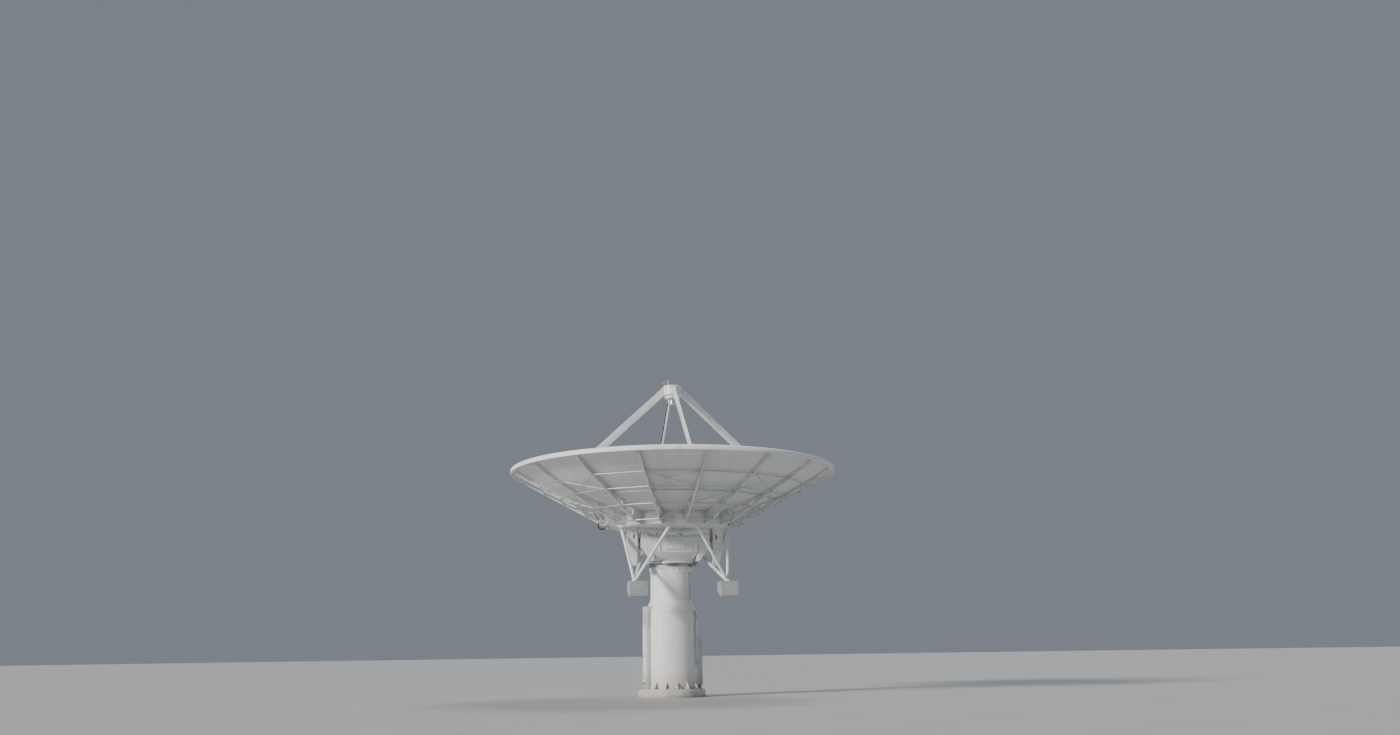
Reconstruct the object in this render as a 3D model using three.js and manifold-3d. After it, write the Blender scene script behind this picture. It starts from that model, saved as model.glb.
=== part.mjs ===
// Radio telescope dish: a 12 m prime-focus reflector on a fixed steel pedestal, pointing at the zenith.
// Millimetres, +Z up. The origin is on the ground, on the azimuth axis. X runs along the elevation axis,
// and the dish tips towards -Y.
import * as THREE from "three";
import { mergeVertices } from "three/addons/utils/BufferGeometryUtils.js";
import { ConvexGeometry } from "three/addons/geometries/ConvexGeometry.js";
import Module from "manifold-3d";

const wasm = await Module();
wasm.setup();

// ---- driving dimensions ----
const GAP = 0.3; // between pieces that touch

// pedestal, bottom to top
const PLINTH_R = 1220;
const PLINTH_TOP = 250;
const FLANGE_R = 1130;
const FLANGE_TOP = 292;
const TOWER_R = 960; // lower tower, outside
const TOWER_TOP = 3000;
const CONE_TOP = 3440;
const NECK_R = 765; // upper tower, outside
const NECK_TOP = 4600;
const WALL = 20; // tower plate
const RACE_R = 800; // fixed bearing race
const RACE_TOP = 4694;
const TOWER_SIDES = 40;

// turning head
const TURN_BOTTOM = 4700;
const TURN_R = 870;
const TURN_PLATE = 4750;
const TURN_TOP = 4800;
const YOKE_HALF = 800;
const YOKE_TOP = 5685;
const SADDLE_TOP = 5800; // arms, beside the bearings
const ARM_FRONT = -900;
const ARM_BACK = -460;
const ARM_OUT = 1270;
const HOUSING_R = 250; // elevation bearing housing
const BORE_R = 126;
const SHAFT_R = 120;

// elevation axis, parallel to X
const AXIS_Y = -650;
const AXIS_Z = 5450;

// reflector
const DISH_Y = -500; // the reflector's own axis
const VERTEX_Z = 6270; // bottom of the bowl
const FOUR_F = 18240; // four focal lengths
const SHELL = 28; // skin thickness, measured along Z
const BOWL_R = 5800;
const RIM_R = 6000;
const SIDES = 48;
const HUB_R = 2050;
const HUB_BOTTOM = 6000;
const HUB_PLATE = 12;
const RIBS = 16;
const RIB_WIDE = 60;

// counterweight frame, mirrored in X
const NODE = new THREE.Vector3(1690, -1880, 4010);
const STRUT_R = 55;
const STRUT_BORE = 46;
const STRUT_FEET = {
  side: new THREE.Vector3(1985, -770, HUB_BOTTOM),
  front: new THREE.Vector3(457, -2350, HUB_BOTTOM),
  back: new THREE.Vector3(611, 1350, HUB_BOTTOM),
};

// feed support
const LEG_DEEP = 262;
const LEG_WIDE = 55;
const APEX_R = 355;
const APEX_BOTTOM = 11020;
const APEX_TOP = 11385;
const LEG_SLOPE = 1.07; // radius gained for each step down
const LEG_AT = [580, 10950]; // radius and height of one point of a leg's centre line

// ---- materials ----
const paint = (color, roughness = 0.5, metalness = 0.05) =>
  new THREE.MeshStandardMaterial({ color, roughness, metalness });
const WHITE = paint(0xe8e9e6, 0.42);
const SKIN = paint(0xeeeeea, 0.35);
const LIGHT_GREY = paint(0xc9cccb, 0.5);
const GREY = paint(0x8d9294, 0.55, 0.2);
const DARK = paint(0x4c5154, 0.6, 0.2);
const STEEL = paint(0x9a9c9b, 0.4, 0.8);
const CONCRETE = paint(0xa9a59c, 0.9, 0);

// ---- shape helpers ----
// A closed three.js geometry as a solid, with its faces turned outwards.
function solid(geometry) {
  const source = geometry.index ? geometry.toNonIndexed() : geometry;
  const bare = new THREE.BufferGeometry().setAttribute(
    "position",
    source.getAttribute("position"),
  );
  const merged = mergeVertices(bare, 1e-3);
  const index = merged.index.array;
  const make = (flip) => {
    const tris = [];
    for (let i = 0; i < index.length; i += 3) {
      const [a, b, c] = [index[i], index[i + 1], index[i + 2]];
      if (a !== b && b !== c && c !== a) tris.push(a, flip ? c : b, flip ? b : c);
    }
    return new wasm.Manifold(
      new wasm.Mesh({
        numProp: 3,
        vertProperties: new Float32Array(merged.attributes.position.array),
        triVerts: new Uint32Array(tris),
      }),
    );
  };
  const made = make(false);
  return made.volume() < 0 ? make(true) : made;
}

const join = (first, ...others) => others.reduce((a, b) => a.add(b), first);
const cut = (first, ...others) => others.reduce((a, b) => a.subtract(b), first);

const box = (x0, x1, y0, y1, z0, z1) =>
  solid(
    new THREE.BoxGeometry(x1 - x0, y1 - y0, z1 - z0).translate(
      (x0 + x1) / 2,
      (y0 + y1) / 2,
      (z0 + z1) / 2,
    ),
  );

// A profile of [radius, height] points turned about the vertical through (x, y).
const turned = (profile, sides, x = 0, y = 0) =>
  solid(
    new THREE.LatheGeometry(
      profile.map(([r, z]) => new THREE.Vector2(r, z)),
      sides,
    )
      .rotateX(Math.PI / 2)
      .translate(x, y, 0),
  );

const ring = (inner, outer, z0, z1, sides) =>
  turned(
    inner
      ? [[inner, z0], [outer, z0], [outer, z1], [inner, z1], [inner, z0]]
      : [[0, z0], [outer, z0], [outer, z1], [0, z1]],
    sides,
  );

// A straight round bar between two points.
function bar(from, to, radius, sides = 12) {
  const along = new THREE.Vector3().subVectors(to, from);
  return solid(
    new THREE.CylinderGeometry(radius, radius, along.length(), sides)
      .applyQuaternion(
        new THREE.Quaternion().setFromUnitVectors(
          new THREE.Vector3(0, 1, 0),
          along.clone().normalize(),
        ),
      )
      .translate((from.x + to.x) / 2, (from.y + to.y) / 2, (from.z + to.z) / 2),
  );
}

// An outline in (a, b) with holes, pushed `deep` along its normal and centred on it.
function plate(outline, holes, deep) {
  const shape = new THREE.Shape(outline.map(([a, b]) => new THREE.Vector2(a, b)));
  shape.holes = holes.map(
    (hole) => new THREE.Path(hole.map(([a, b]) => new THREE.Vector2(a, b))),
  );
  return new THREE.ExtrudeGeometry(shape, {
    depth: deep,
    bevelEnabled: false,
    curveSegments: 1,
  }).translate(0, 0, -deep / 2);
}

// An outline in (x, z), from y0 to y1.
const plateXZ = (outline, y0, y1) =>
  solid(
    plate(outline, [], y1 - y0)
      .rotateX(Math.PI / 2)
      .translate(0, (y0 + y1) / 2, 0),
  );

const hull = (points) =>
  solid(new ConvexGeometry(points.map(([x, y, z]) => new THREE.Vector3(x, y, z))));

const mirrorX = (one) => one.mirror([1, 0, 0]);
const bowl = (r) => VERTEX_Z + (r * r) / FOUR_F; // the reflecting face

// ---- the three bodies, one inside the next ----
const pedestal = new THREE.Group();
const turnhead = new THREE.Group();
const dish = new THREE.Group();
turnhead.position.set(0, 0, TURN_BOTTOM);
dish.position.set(0, AXIS_Y, AXIS_Z - TURN_BOTTOM);
pedestal.add(turnhead);
turnhead.add(dish);

function geometryOf(made) {
  const { numProp, numVert, vertProperties, triVerts } = made.getMesh();
  const position = new Float32Array(numVert * 3);
  for (let i = 0; i < numVert; i++)
    position.set(vertProperties.subarray(i * numProp, i * numProp + 3), i * 3);
  const geometry = new THREE.BufferGeometry();
  geometry.setAttribute("position", new THREE.BufferAttribute(position, 3));
  geometry.setIndex(new THREE.BufferAttribute(new Uint32Array(triVerts), 1));
  geometry.computeVertexNormals();
  return geometry;
}

// Adds a solid that is given where it stands on the whole telescope.
function add(group, name, made, material) {
  const origin = new THREE.Vector3();
  for (let g = group; g; g = g.parent) origin.add(g.position);
  const mesh = new THREE.Mesh(
    geometryOf(made).translate(-origin.x, -origin.y, -origin.z),
    material,
  );
  mesh.name = name;
  group.add(mesh);
  return mesh;
}

// ======== pedestal ========
add(
  pedestal,
  "foundation_plinth",
  turned(
    [
      [0, 0],
      [PLINTH_R, 0],
      [PLINTH_R, PLINTH_TOP - 25],
      [PLINTH_R - 25, PLINTH_TOP],
      [0, PLINTH_TOP],
    ],
    TOWER_SIDES,
  ),
  CONCRETE,
);

{
  // anchor ring with gusset plates between the two housings
  const parts = [ring(800, FLANGE_R, PLINTH_TOP + GAP, FLANGE_TOP, TOWER_SIDES)];
  for (const degrees of [45, 67.5, 90, 112.5, 135, 225, 247.5, 270, 292.5, 315]) {
    const gusset = plate(
      [
        [TOWER_R + 1, FLANGE_TOP - 5],
        [FLANGE_R - 20, FLANGE_TOP - 5],
        [FLANGE_R - 20, FLANGE_TOP + 40],
        [TOWER_R + 30, FLANGE_TOP + 230],
        [TOWER_R + 1, FLANGE_TOP + 230],
      ],
      [],
      16,
    ).rotateX(Math.PI / 2);
    parts.push(solid(gusset.rotateZ(THREE.MathUtils.degToRad(degrees))));
  }
  add(pedestal, "base_flange", join(...parts), WHITE);
}

add(
  pedestal,
  "lower_tower",
  ring(TOWER_R - WALL, TOWER_R, FLANGE_TOP + GAP, TOWER_TOP, TOWER_SIDES),
  WHITE,
);

const coneProfile = (grow) => [
  [TOWER_R - WALL, TOWER_TOP + GAP],
  [TOWER_R + grow, TOWER_TOP + GAP],
  [NECK_R + grow, CONE_TOP],
  [NECK_R - WALL, CONE_TOP],
  [TOWER_R - WALL, TOWER_TOP + GAP],
];
add(pedestal, "tower_cone", turned(coneProfile(0), TOWER_SIDES), WHITE);

add(
  pedestal,
  "upper_tower",
  turned(
    [
      [NECK_R - WALL, CONE_TOP + GAP],
      [NECK_R, CONE_TOP + GAP],
      [NECK_R, NECK_TOP - 30],
      [RACE_R, NECK_TOP - 30],
      [RACE_R, NECK_TOP],
      [NECK_R - WALL, NECK_TOP],
      [NECK_R - WALL, CONE_TOP + GAP],
    ],
    TOWER_SIDES,
  ),
  WHITE,
);

add(
  pedestal,
  "azimuth_bearing_fixed",
  turned(
    [
      [640, NECK_TOP + GAP],
      [RACE_R + 5, NECK_TOP + GAP],
      [RACE_R + 5, RACE_TOP - 30],
      [RACE_R - 20, RACE_TOP - 20],
      [RACE_R - 20, RACE_TOP],
      [640, RACE_TOP],
      [640, NECK_TOP + GAP],
    ],
    TOWER_SIDES,
  ),
  STEEL,
);

// the tower's own outline, a little fat, cut from what is fixed to it
const towerCut = join(
  turned(
    [
      [0, 0],
      [TOWER_R + GAP + 0.2, 0],
      [TOWER_R + GAP + 0.2, TOWER_TOP],
      [NECK_R + GAP + 0.2, CONE_TOP],
      [0, CONE_TOP],
    ],
    TOWER_SIDES,
  ),
);

// flat-faced service housing up the -X side
const HOUSING_FACE = 990;
const HOUSING_HALF = 450;
const HOUSING_TOP = 3210;
add(
  pedestal,
  "service_housing",
  cut(
    box(-HOUSING_FACE, -700, -HOUSING_HALF, HOUSING_HALF, FLANGE_TOP + GAP, HOUSING_TOP),
    towerCut,
  ),
  LIGHT_GREY,
);
add(
  pedestal,
  "access_door",
  join(
    box(-HOUSING_FACE - 18, -HOUSING_FACE - GAP, -370, 370, 420, 2470),
    box(-HOUSING_FACE - 46, -HOUSING_FACE - 17, 270, 300, 1330, 1510),
  ),
  WHITE,
);

// sloped-top cabinet on the +X side
const CABINET_HALF = 300;
add(
  pedestal,
  "junction_cabinet",
  cut(
    plateXZ(
      [
        [800, FLANGE_TOP + 120],
        [1075, FLANGE_TOP + 120],
        [1075, 1995],
        [930, 2180],
        [800, 2180],
      ],
      -CABINET_HALF,
      CABINET_HALF,
    ),
    towerCut,
  ),
  LIGHT_GREY,
);

// ======== turning head ========
add(
  turnhead,
  "azimuth_bearing_moving",
  ring(640, TURN_R - 20, TURN_BOTTOM, TURN_PLATE, TOWER_SIDES),
  STEEL,
);
add(
  turnhead,
  "turntable_plate",
  ring(250, TURN_R, TURN_PLATE + GAP, TURN_TOP, TOWER_SIDES),
  WHITE,
);

{
  // a plate box, open to the cable way in the turntable below it
  const half = (w, t) =>
    hull(
      [-1, 1].flatMap((s) => [
        [s * (YOKE_HALF - w), -320 + w, TURN_TOP + GAP + w],
        [s * (YOKE_HALF - w), 200 - w, TURN_TOP + GAP + w],
        [s * (560 - w), -640 + w, TURN_TOP + GAP + w],
        [s * (YOKE_HALF - w), -960 + w, 5120 + t],
        [s * (YOKE_HALF - w), -980 + w, YOKE_TOP - 40 - w],
        [s * (YOKE_HALF - w), -940 + w, YOKE_TOP - w],
        [s * (YOKE_HALF - w), 150 - w, YOKE_TOP - w],
      ]),
    );
  const way = ring(0, 240, TURN_TOP - 50, TURN_TOP + 60, 20);
  add(turnhead, "yoke_body", cut(half(0, 0), half(25, 10), way), WHITE);
}

{
  const outline = [
    [YOKE_HALF + GAP, TURN_TOP + 10],
    [885, TURN_TOP + 10],
    [980, 4905],
    [1055, 5017],
    [1215, 5254],
    [ARM_OUT, 5342],
    [ARM_OUT, SADDLE_TOP],
    [1035, SADDLE_TOP],
    [1000, YOKE_TOP],
    [YOKE_HALF + GAP, YOKE_TOP],
  ];
  const along = (x0, x1, r, sides) =>
    bar(
      new THREE.Vector3(x0, AXIS_Y, AXIS_Z),
      new THREE.Vector3(x1, AXIS_Y, AXIS_Z),
      r,
      sides,
    );
  const arm = cut(
    join(plateXZ(outline, ARM_FRONT, ARM_BACK), along(960, 1280, HOUSING_R, 28)),
    along(1010, 1400, BORE_R, 20),
  );
  add(turnhead, "yoke_arm_right", arm, WHITE);
  add(turnhead, "yoke_arm_left", mirrorX(arm), WHITE);
}

{
  // small position-sensor box on the turntable's edge, low at the front right
  const boxAt = (out, z) => [
    [out, -95, z],
    [out, 95, z],
  ];
  const sensor = solid(
    new ConvexGeometry(
      [
        ...boxAt(TURN_R + 6, 4650),
        ...boxAt(TURN_R + 35, 4650),
        ...boxAt(980, 4730),
        ...boxAt(980, 4800),
        ...boxAt(TURN_R + 6, 4800),
      ].map(([x, y, z]) => new THREE.Vector3(x, y, z)),
    ).rotateZ(THREE.MathUtils.degToRad(-22)),
  );
  add(turnhead, "azimuth_sensor_box", sensor, GREY);

  // upright gear motors that turn the head, on the plate behind the yoke
  const motor = turned(
    [
      [0, TURN_TOP + GAP],
      [135, TURN_TOP + GAP],
      [135, 5010],
      [100, 5030],
      [100, 5270],
      [70, 5290],
      [0, 5290],
    ],
    16,
    490,
    505,
  );
  add(turnhead, "azimuth_drive_right", motor, GREY);
  add(turnhead, "azimuth_drive_left", mirrorX(motor), GREY);

  // level gear motors on the yoke's back wall that tip the dish
  const level = solid(
    new THREE.LatheGeometry(
      [
        [0, 0],
        [130, 0],
        [130, 120],
        [95, 135],
        [95, 330],
        [65, 345],
        [0, 345],
      ].map(([r, z]) => new THREE.Vector2(r, z)),
      16,
    ).translate(600, 175, 5490),
  );
  add(turnhead, "elevation_drive_right", level, GREY);
  add(turnhead, "elevation_drive_left", mirrorX(level), GREY);
}

// ======== dish ========
// the skin, and the rolled edge around it
const bowlSteps = [800, 1600, 2400, 3200, 4000, 4700, 5300, BOWL_R];
add(
  dish,
  "reflector_shell",
  turned(
    [
      [0, VERTEX_Z - SHELL],
      ...bowlSteps.map((r) => [r, bowl(r) - SHELL]),
      ...bowlSteps
        .slice()
        .reverse()
        .map((r) => [r, bowl(r)]),
      [0, VERTEX_Z],
    ],
    SIDES,
    0,
    DISH_Y,
  ),
  SKIN,
);
{
  const start = BOWL_R + 0.6;
  const edge = bowl(BOWL_R);
  const profile = [
    [start, edge - SHELL],
    [5870, 8118],
    [5925, 8116],
    [5955, 8090],
    [5968, 8040],
    [5966, 7985],
    [5992, 7982],
    [RIM_R, 8030],
    [5994, 8085],
    [5970, 8128],
    [5925, 8152],
    [5870, 8154],
    [start, edge],
  ];
  add(
    dish,
    "rim_edge",
    turned([...profile, profile[0]], SIDES, 0, DISH_Y),
    SKIN,
  );
}

// hub: a round pan that the skin closes
// the skin is straight between its steps, and what touches it follows that, 3 mm off
function face(r) {
  const steps = [0, ...bowlSteps];
  const i = Math.max(1, steps.findIndex((step) => r <= step));
  const [a, b] = [steps[i - 1], steps[i]];
  const share = (r - a) / (b - a);
  return bowl(a) * (1 - share) + bowl(b) * share;
}
const under = (r) => face(r) - SHELL - 3;
add(
  dish,
  "hub_drum",
  turned(
    [
      [0, HUB_BOTTOM],
      [HUB_R, HUB_BOTTOM],
      [HUB_R, under(HUB_R) - 1],
      [HUB_R - HUB_PLATE, under(HUB_R - HUB_PLATE) - 1],
      [HUB_R - HUB_PLATE, HUB_BOTTOM + HUB_PLATE],
      [0, HUB_BOTTOM + HUB_PLATE],
    ],
    SIDES,
    0,
    DISH_Y,
  ),
  WHITE,
);

{
  // backup ribs: flat lattice frames between the hub and the rim
  const KNEE = [2500, 6092];
  const LOW_SLOPE = 0.5458;
  const low = (r) =>
    r <= KNEE[0]
      ? HUB_BOTTOM + 2 + ((r - 2060) / (KNEE[0] - 2060)) * (KNEE[1] - HUB_BOTTOM - 2)
      : KNEE[1] + LOW_SLOPE * (r - KNEE[0]);
  const start = HUB_R + 4;
  const chordSteps = [start, ...bowlSteps.filter((r) => r > start)];
  const outline = [
    [start, HUB_BOTTOM + 2],
    KNEE,
    [BOWL_R, low(BOWL_R)],
    ...chordSteps
      .slice()
      .reverse()
      .map((r) => [r, under(r)]),
  ];
  // web nodes, alternately on the lower and the upper chord
  const webs = [
    [start, "low"],
    [2270, "top"],
    [2500, "low"],
    [2960, "top"],
    [3330, "low"],
    [3790, "top"],
    [4180, "low"],
    [4600, "top"],
    [4930, "low"],
    [5280, "top"],
  ].map(([r, side]) => [r, side === "low" ? low(r) : under(r), side]);
  const CHORD = 58;
  const WEB = 44;
  const holes = [];
  for (let i = 0; i + 2 < webs.length; i++) {
    const corners = [webs[i], webs[i + 1], webs[i + 2]].map(([a, b]) => [a, b]);
    // the edge from the first corner to the third lies on a chord
    const inset = [WEB / 2, WEB / 2, CHORD];
    if (i === 0) inset[0] = WEB;
    holes.push(shrink(corners, inset));
  }
  function shrink(corners, inset) {
    let area = 0;
    for (let i = 0; i < 3; i++) {
      const [p, q] = [corners[i], corners[(i + 1) % 3]];
      area += p[0] * q[1] - q[0] * p[1];
    }
    const turn = Math.sign(area);
    const lines = corners.map((p, i) => {
      const q = corners[(i + 1) % 3];
      const dx = q[0] - p[0];
      const dy = q[1] - p[1];
      const n = Math.hypot(dx, dy);
      const nx = (-dy / n) * turn;
      const ny = (dx / n) * turn;
      return [nx, ny, nx * p[0] + ny * p[1] + inset[i]];
    });
    return lines.map((b, i) => {
      const a = lines[(i + 2) % 3];
      const det = a[0] * b[1] - a[1] * b[0];
      return [(a[2] * b[1] - a[1] * b[2]) / det, (a[0] * b[2] - a[2] * b[0]) / det];
    });
  }
  const rib = solid(plate(outline, holes, RIB_WIDE).rotateX(Math.PI / 2));
  const shape = geometryOf(rib).translate(0, 0, -AXIS_Z);
  for (let k = 0; k < RIBS; k++) {
    const mesh = new THREE.Mesh(shape, WHITE);
    mesh.name = "rib_" + String(k + 1).padStart(2, "0");
    mesh.position.set(0, DISH_Y - AXIS_Y, 0);
    mesh.rotation.z = (k * 2 * Math.PI) / RIBS;
    dish.add(mesh);
  }
}

{
  // hanging box brackets that carry the dish on its two stub shafts
  const levels = [
    // height, inner face, outer face, front, back
    [HUB_BOTTOM - GAP, 1405, 1765, -900, -480],
    [5400, 1405, 1765, -890, -490],
    [4800, 1405, 1680, -850, -530],
    [4640, 1430, 1550, -810, -570],
  ];
  const shape = (w, up, down) =>
    hull(
      levels.flatMap(([z, inside, out, front, back], i) =>
        [inside + w, out - w].flatMap((x) =>
          [front + w, back - w].map((y) => [x, y, z + (i === 0 ? up : i === 3 ? down : 0)]),
        ),
      ),
    );
  // the raking brace on its outer side meets the hub at the rim
  const rake = bar(
    new THREE.Vector3(1610, -690, 4700),
    new THREE.Vector3(2000, -690, 6040),
    58,
    12,
  ).intersect(box(1300, 2300, -2000, 1000, 4000, HUB_BOTTOM - GAP));
  const slot = box(1500, 1562, -1200, 0, 5600, 5765);
  const bracket = join(
    cut(join(shape(0, 0, 0), rake), shape(16, 40, 16), slot),
    bar(
      new THREE.Vector3(1040, AXIS_Y, AXIS_Z),
      new THREE.Vector3(1760, AXIS_Y, AXIS_Z),
      SHAFT_R,
      20,
    ),
  );
  add(dish, "bracket_right", bracket, WHITE);
  add(dish, "bracket_left", mirrorX(bracket), WHITE);

  // counterweight with the ball where its three struts meet
  const BALL_R = 110;
  const ball = (grow) =>
    solid(
      new THREE.SphereGeometry(BALL_R + grow, 16, 10)
        .rotateX(Math.PI / 2)
        .translate(NODE.x, NODE.y, NODE.z),
    );
  const slab = solid(
    plate(
      [
        [-2430, 3490],
        [-2395, 3450],
        [-2290, 3450],
        [-1890, 3655],
        [-1850, 3740],
        [-1850, 3950],
        [-2150, 4005],
        [-2400, 4005],
        [-2430, 3975],
      ],
      [],
      645,
    )
      .rotateX(Math.PI / 2)
      .rotateZ(Math.PI / 2)
      .translate(1628, 0, 0),
  );
  const weight = join(slab, ball(0));
  add(dish, "counterweight_right", weight, GREY);
  add(dish, "counterweight_left", mirrorX(weight), GREY);

  // three struts a side, each cut square under the hub and shaped to the ball and to each other
  const below = box(0, 3000, -4000, 3000, 3000, HUB_BOTTOM - GAP);
  const past = (foot, more) =>
    foot.clone().add(new THREE.Vector3().subVectors(foot, NODE).multiplyScalar(more));
  const rod = (foot, r) => bar(NODE, past(foot, 0.06), r);
  const tube = (foot) => cut(rod(foot, STRUT_R), bar(past(foot, -1.05), past(foot, 0.1), STRUT_BORE));
  const seat = join(ball(1.5), slab);
  const beside = rod(STRUT_FEET.side, STRUT_R + 1.5);
  const rakeCut = bar(
    new THREE.Vector3(1610, -690, 4700),
    new THREE.Vector3(2000, -690, 6040),
    60,
    12,
  );
  const side = cut(tube(STRUT_FEET.side), seat, rakeCut).intersect(below);
  const front = cut(tube(STRUT_FEET.front), seat, beside).intersect(below);
  const back = cut(tube(STRUT_FEET.back), seat, beside).intersect(below);
  for (const [name, made] of Object.entries({ side, front, back })) {
    const largest = made.decompose().sort((a, b) => b.volume() - a.volume())[0];
    add(dish, "strut_" + name + "_right", largest, WHITE);
    add(dish, "strut_" + name + "_left", mirrorX(largest), WHITE);
  }
}

{
  // four flat feed legs, from foot pads on the skin to the apex
  const sideways = (LEG_DEEP / 2) * Math.hypot(1, LEG_SLOPE);
  const legZ = (r, side) => LEG_AT[1] - (r - side * sideways - LEG_AT[0]) / LEG_SLOPE;
  const PAD = 24;
  const foot = (side) => {
    let r = 4450;
    for (let i = 0; i < 60; i++) {
      const z = face(r) + PAD;
      r += 0.5 * (LEG_AT[0] + side * sideways + LEG_SLOPE * (LEG_AT[1] - z) - r);
    }
    return [r, face(r) + PAD];
  };
  const inner = foot(-1);
  const outer = foot(1);
  const tip = APEX_R + 0.6;
  const blade = solid(
    plate(
      [inner, outer, [tip, legZ(tip, 1)], [tip, legZ(tip, -1)]],
      [],
      LEG_WIDE,
    ).rotateX(Math.PI / 2),
  );
  const middle = (inner[0] + outer[0]) / 2;
  const lean = Math.atan2(outer[1] - inner[1], outer[0] - inner[0]);
  const pad = solid(
    new THREE.BoxGeometry(520, 190, PAD - 2)
      .rotateY(-lean)
      .translate(middle, 0, (inner[1] + outer[1]) / 2 - PAD / 2 + 8),
  );
  const leg = geometryOf(join(blade, pad)).translate(0, 0, -AXIS_Z);
  ["right", "rear", "left", "front"].forEach((where, k) => {
    const mesh = new THREE.Mesh(leg, WHITE);
    mesh.name = "feed_leg_" + where;
    mesh.position.set(0, DISH_Y - AXIS_Y, 0);
    mesh.rotation.z = (k * Math.PI) / 2;
    dish.add(mesh);
  });

  // apex drum with a rod, a stub and a small lamp on top
  const upright = (x, y, r, z0, z1, sides = 8) =>
    bar(new THREE.Vector3(x, y, z0), new THREE.Vector3(x, y, z1), r, sides);
  const drum = turned(
    [
      [0, APEX_BOTTOM],
      [APEX_R - 15, APEX_BOTTOM],
      [APEX_R, APEX_BOTTOM + 15],
      [APEX_R, APEX_TOP - 20],
      [APEX_R - 20, APEX_TOP],
      [0, APEX_TOP],
    ],
    24,
    0,
    DISH_Y,
  );
  add(
    dish,
    "apex_drum",
    join(
      drum,
      turned(
        [
          [0, 10910],
          [270, 10910],
          [280, 10920],
          [280, APEX_BOTTOM + 10],
          [0, APEX_BOTTOM + 10],
        ],
        24,
        0,
        DISH_Y,
      ),
    ),
    WHITE,
  );
  add(
    dish,
    "lightning_rod",
    join(
      upright(-150, DISH_Y, 34, APEX_TOP + GAP, 11410, 12),
      upright(-150, DISH_Y, 12, APEX_TOP + 2, 11655),
    ),
    STEEL,
  );
  // a ring antenna on a short mast, and a lamp
  const loop = solid(
    new THREE.TorusGeometry(62, 9, 6, 20)
      .rotateX(Math.PI / 2)
      .translate(-290, DISH_Y, 11516),
  );
  add(
    dish,
    "ring_antenna",
    join(upright(-290, DISH_Y, 13, APEX_TOP + GAP, 11460), loop),
    STEEL,
  );
  add(
    dish,
    "obstruction_lamp",
    turned(
      [
        [0, APEX_TOP + GAP],
        [48, APEX_TOP + GAP],
        [48, 11405],
        [34, 11412],
        [30, 11450],
        [16, 11468],
        [0, 11470],
      ],
      16,
      215,
      DISH_Y,
    ),
    DARK,
  );

  // feed horn, open downwards
  add(
    dish,
    "feed_horn",
    turned(
      [
        [0, 10910 - GAP],
        [105, 10910 - GAP],
        [105, 10890],
        [78, 10875],
        [78, 10840],
        [112, 10705],
        [104, 10705],
        [64, 10850],
        [64, 10885],
        [0, 10885],
      ],
      24,
      0,
      DISH_Y,
    ),
    LIGHT_GREY,
  );
}

{
  // conduit loop beside the left rib: it hangs between two gland blocks on the lower chord
  const y = DISH_Y - RIB_WIDE / 2 - 27;
  // a point at radius r on the chord's lower edge, moved along the chord and out of it
  const chordPoint = (r, along, out) => [
    -(r + 0.8777 * along + 0.4791 * out),
    6092 + 0.5458 * (r - 2500) + 0.4791 * along - 0.8777 * out,
  ];
  const ends = { inner: 2528, outer: 2757 };
  for (const [side, r] of Object.entries(ends)) {
    add(
      dish,
      `loop_gland_${side}`,
      plateXZ(
        [
          [-34, 4],
          [34, 4],
          [40, -2],
          [40, -46],
          [32, -54],
          [-32, -54],
          [-40, -46],
          [-40, -2],
        ].map(([along, out]) => chordPoint(r, along, out)),
        DISH_Y - RIB_WIDE / 2 - 58,
        DISH_Y - RIB_WIDE / 2 - GAP,
      ),
      LIGHT_GREY,
    );
  }
  const path = new THREE.CatmullRomCurve3(
    [
      chordPoint(ends.inner, 0, 5),
      chordPoint(ends.inner, 0, 40),
      [-2568, 6012],
      [-2615, 5968],
      [-2688, 5957],
      [-2764, 6004],
      [-2800, 6085],
      chordPoint(ends.outer, 0, 50),
      chordPoint(ends.outer, 0, 5),
    ].map(([x, z]) => new THREE.Vector3(x, y, z)),
  );
  const section = new THREE.Shape(
    Array.from({ length: 8 }, (_, i) => {
      const a = (i * Math.PI) / 4;
      return new THREE.Vector2(26 * Math.cos(a), 26 * Math.sin(a));
    }),
  );
  add(
    dish,
    "conduit_loop",
    solid(
      new THREE.ExtrudeGeometry(section, {
        steps: 14,
        extrudePath: path,
        bevelEnabled: false,
        curveSegments: 1,
      }),
    ),
    DARK,
  );
}

export default pedestal;
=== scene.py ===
# The looks of a 12 m radio telescope dish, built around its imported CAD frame. Metres, +Z up.
import math

import bmesh
import bpy
from mathutils import Matrix, Vector

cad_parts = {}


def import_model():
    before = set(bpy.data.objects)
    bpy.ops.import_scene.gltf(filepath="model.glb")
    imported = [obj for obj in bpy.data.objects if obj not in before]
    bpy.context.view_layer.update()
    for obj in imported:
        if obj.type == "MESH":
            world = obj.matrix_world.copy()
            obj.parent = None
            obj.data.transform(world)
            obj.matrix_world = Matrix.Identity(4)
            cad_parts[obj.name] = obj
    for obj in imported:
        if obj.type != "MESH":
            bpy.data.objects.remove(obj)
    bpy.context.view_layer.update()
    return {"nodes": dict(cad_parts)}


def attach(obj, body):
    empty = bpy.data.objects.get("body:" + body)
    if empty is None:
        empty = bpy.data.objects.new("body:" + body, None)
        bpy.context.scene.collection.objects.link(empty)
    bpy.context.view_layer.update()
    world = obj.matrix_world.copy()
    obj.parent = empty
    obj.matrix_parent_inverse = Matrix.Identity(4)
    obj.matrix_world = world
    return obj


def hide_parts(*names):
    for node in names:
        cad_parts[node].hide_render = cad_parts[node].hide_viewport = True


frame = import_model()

NODES = frame["nodes"]
pi = math.pi
rad = math.radians

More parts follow.
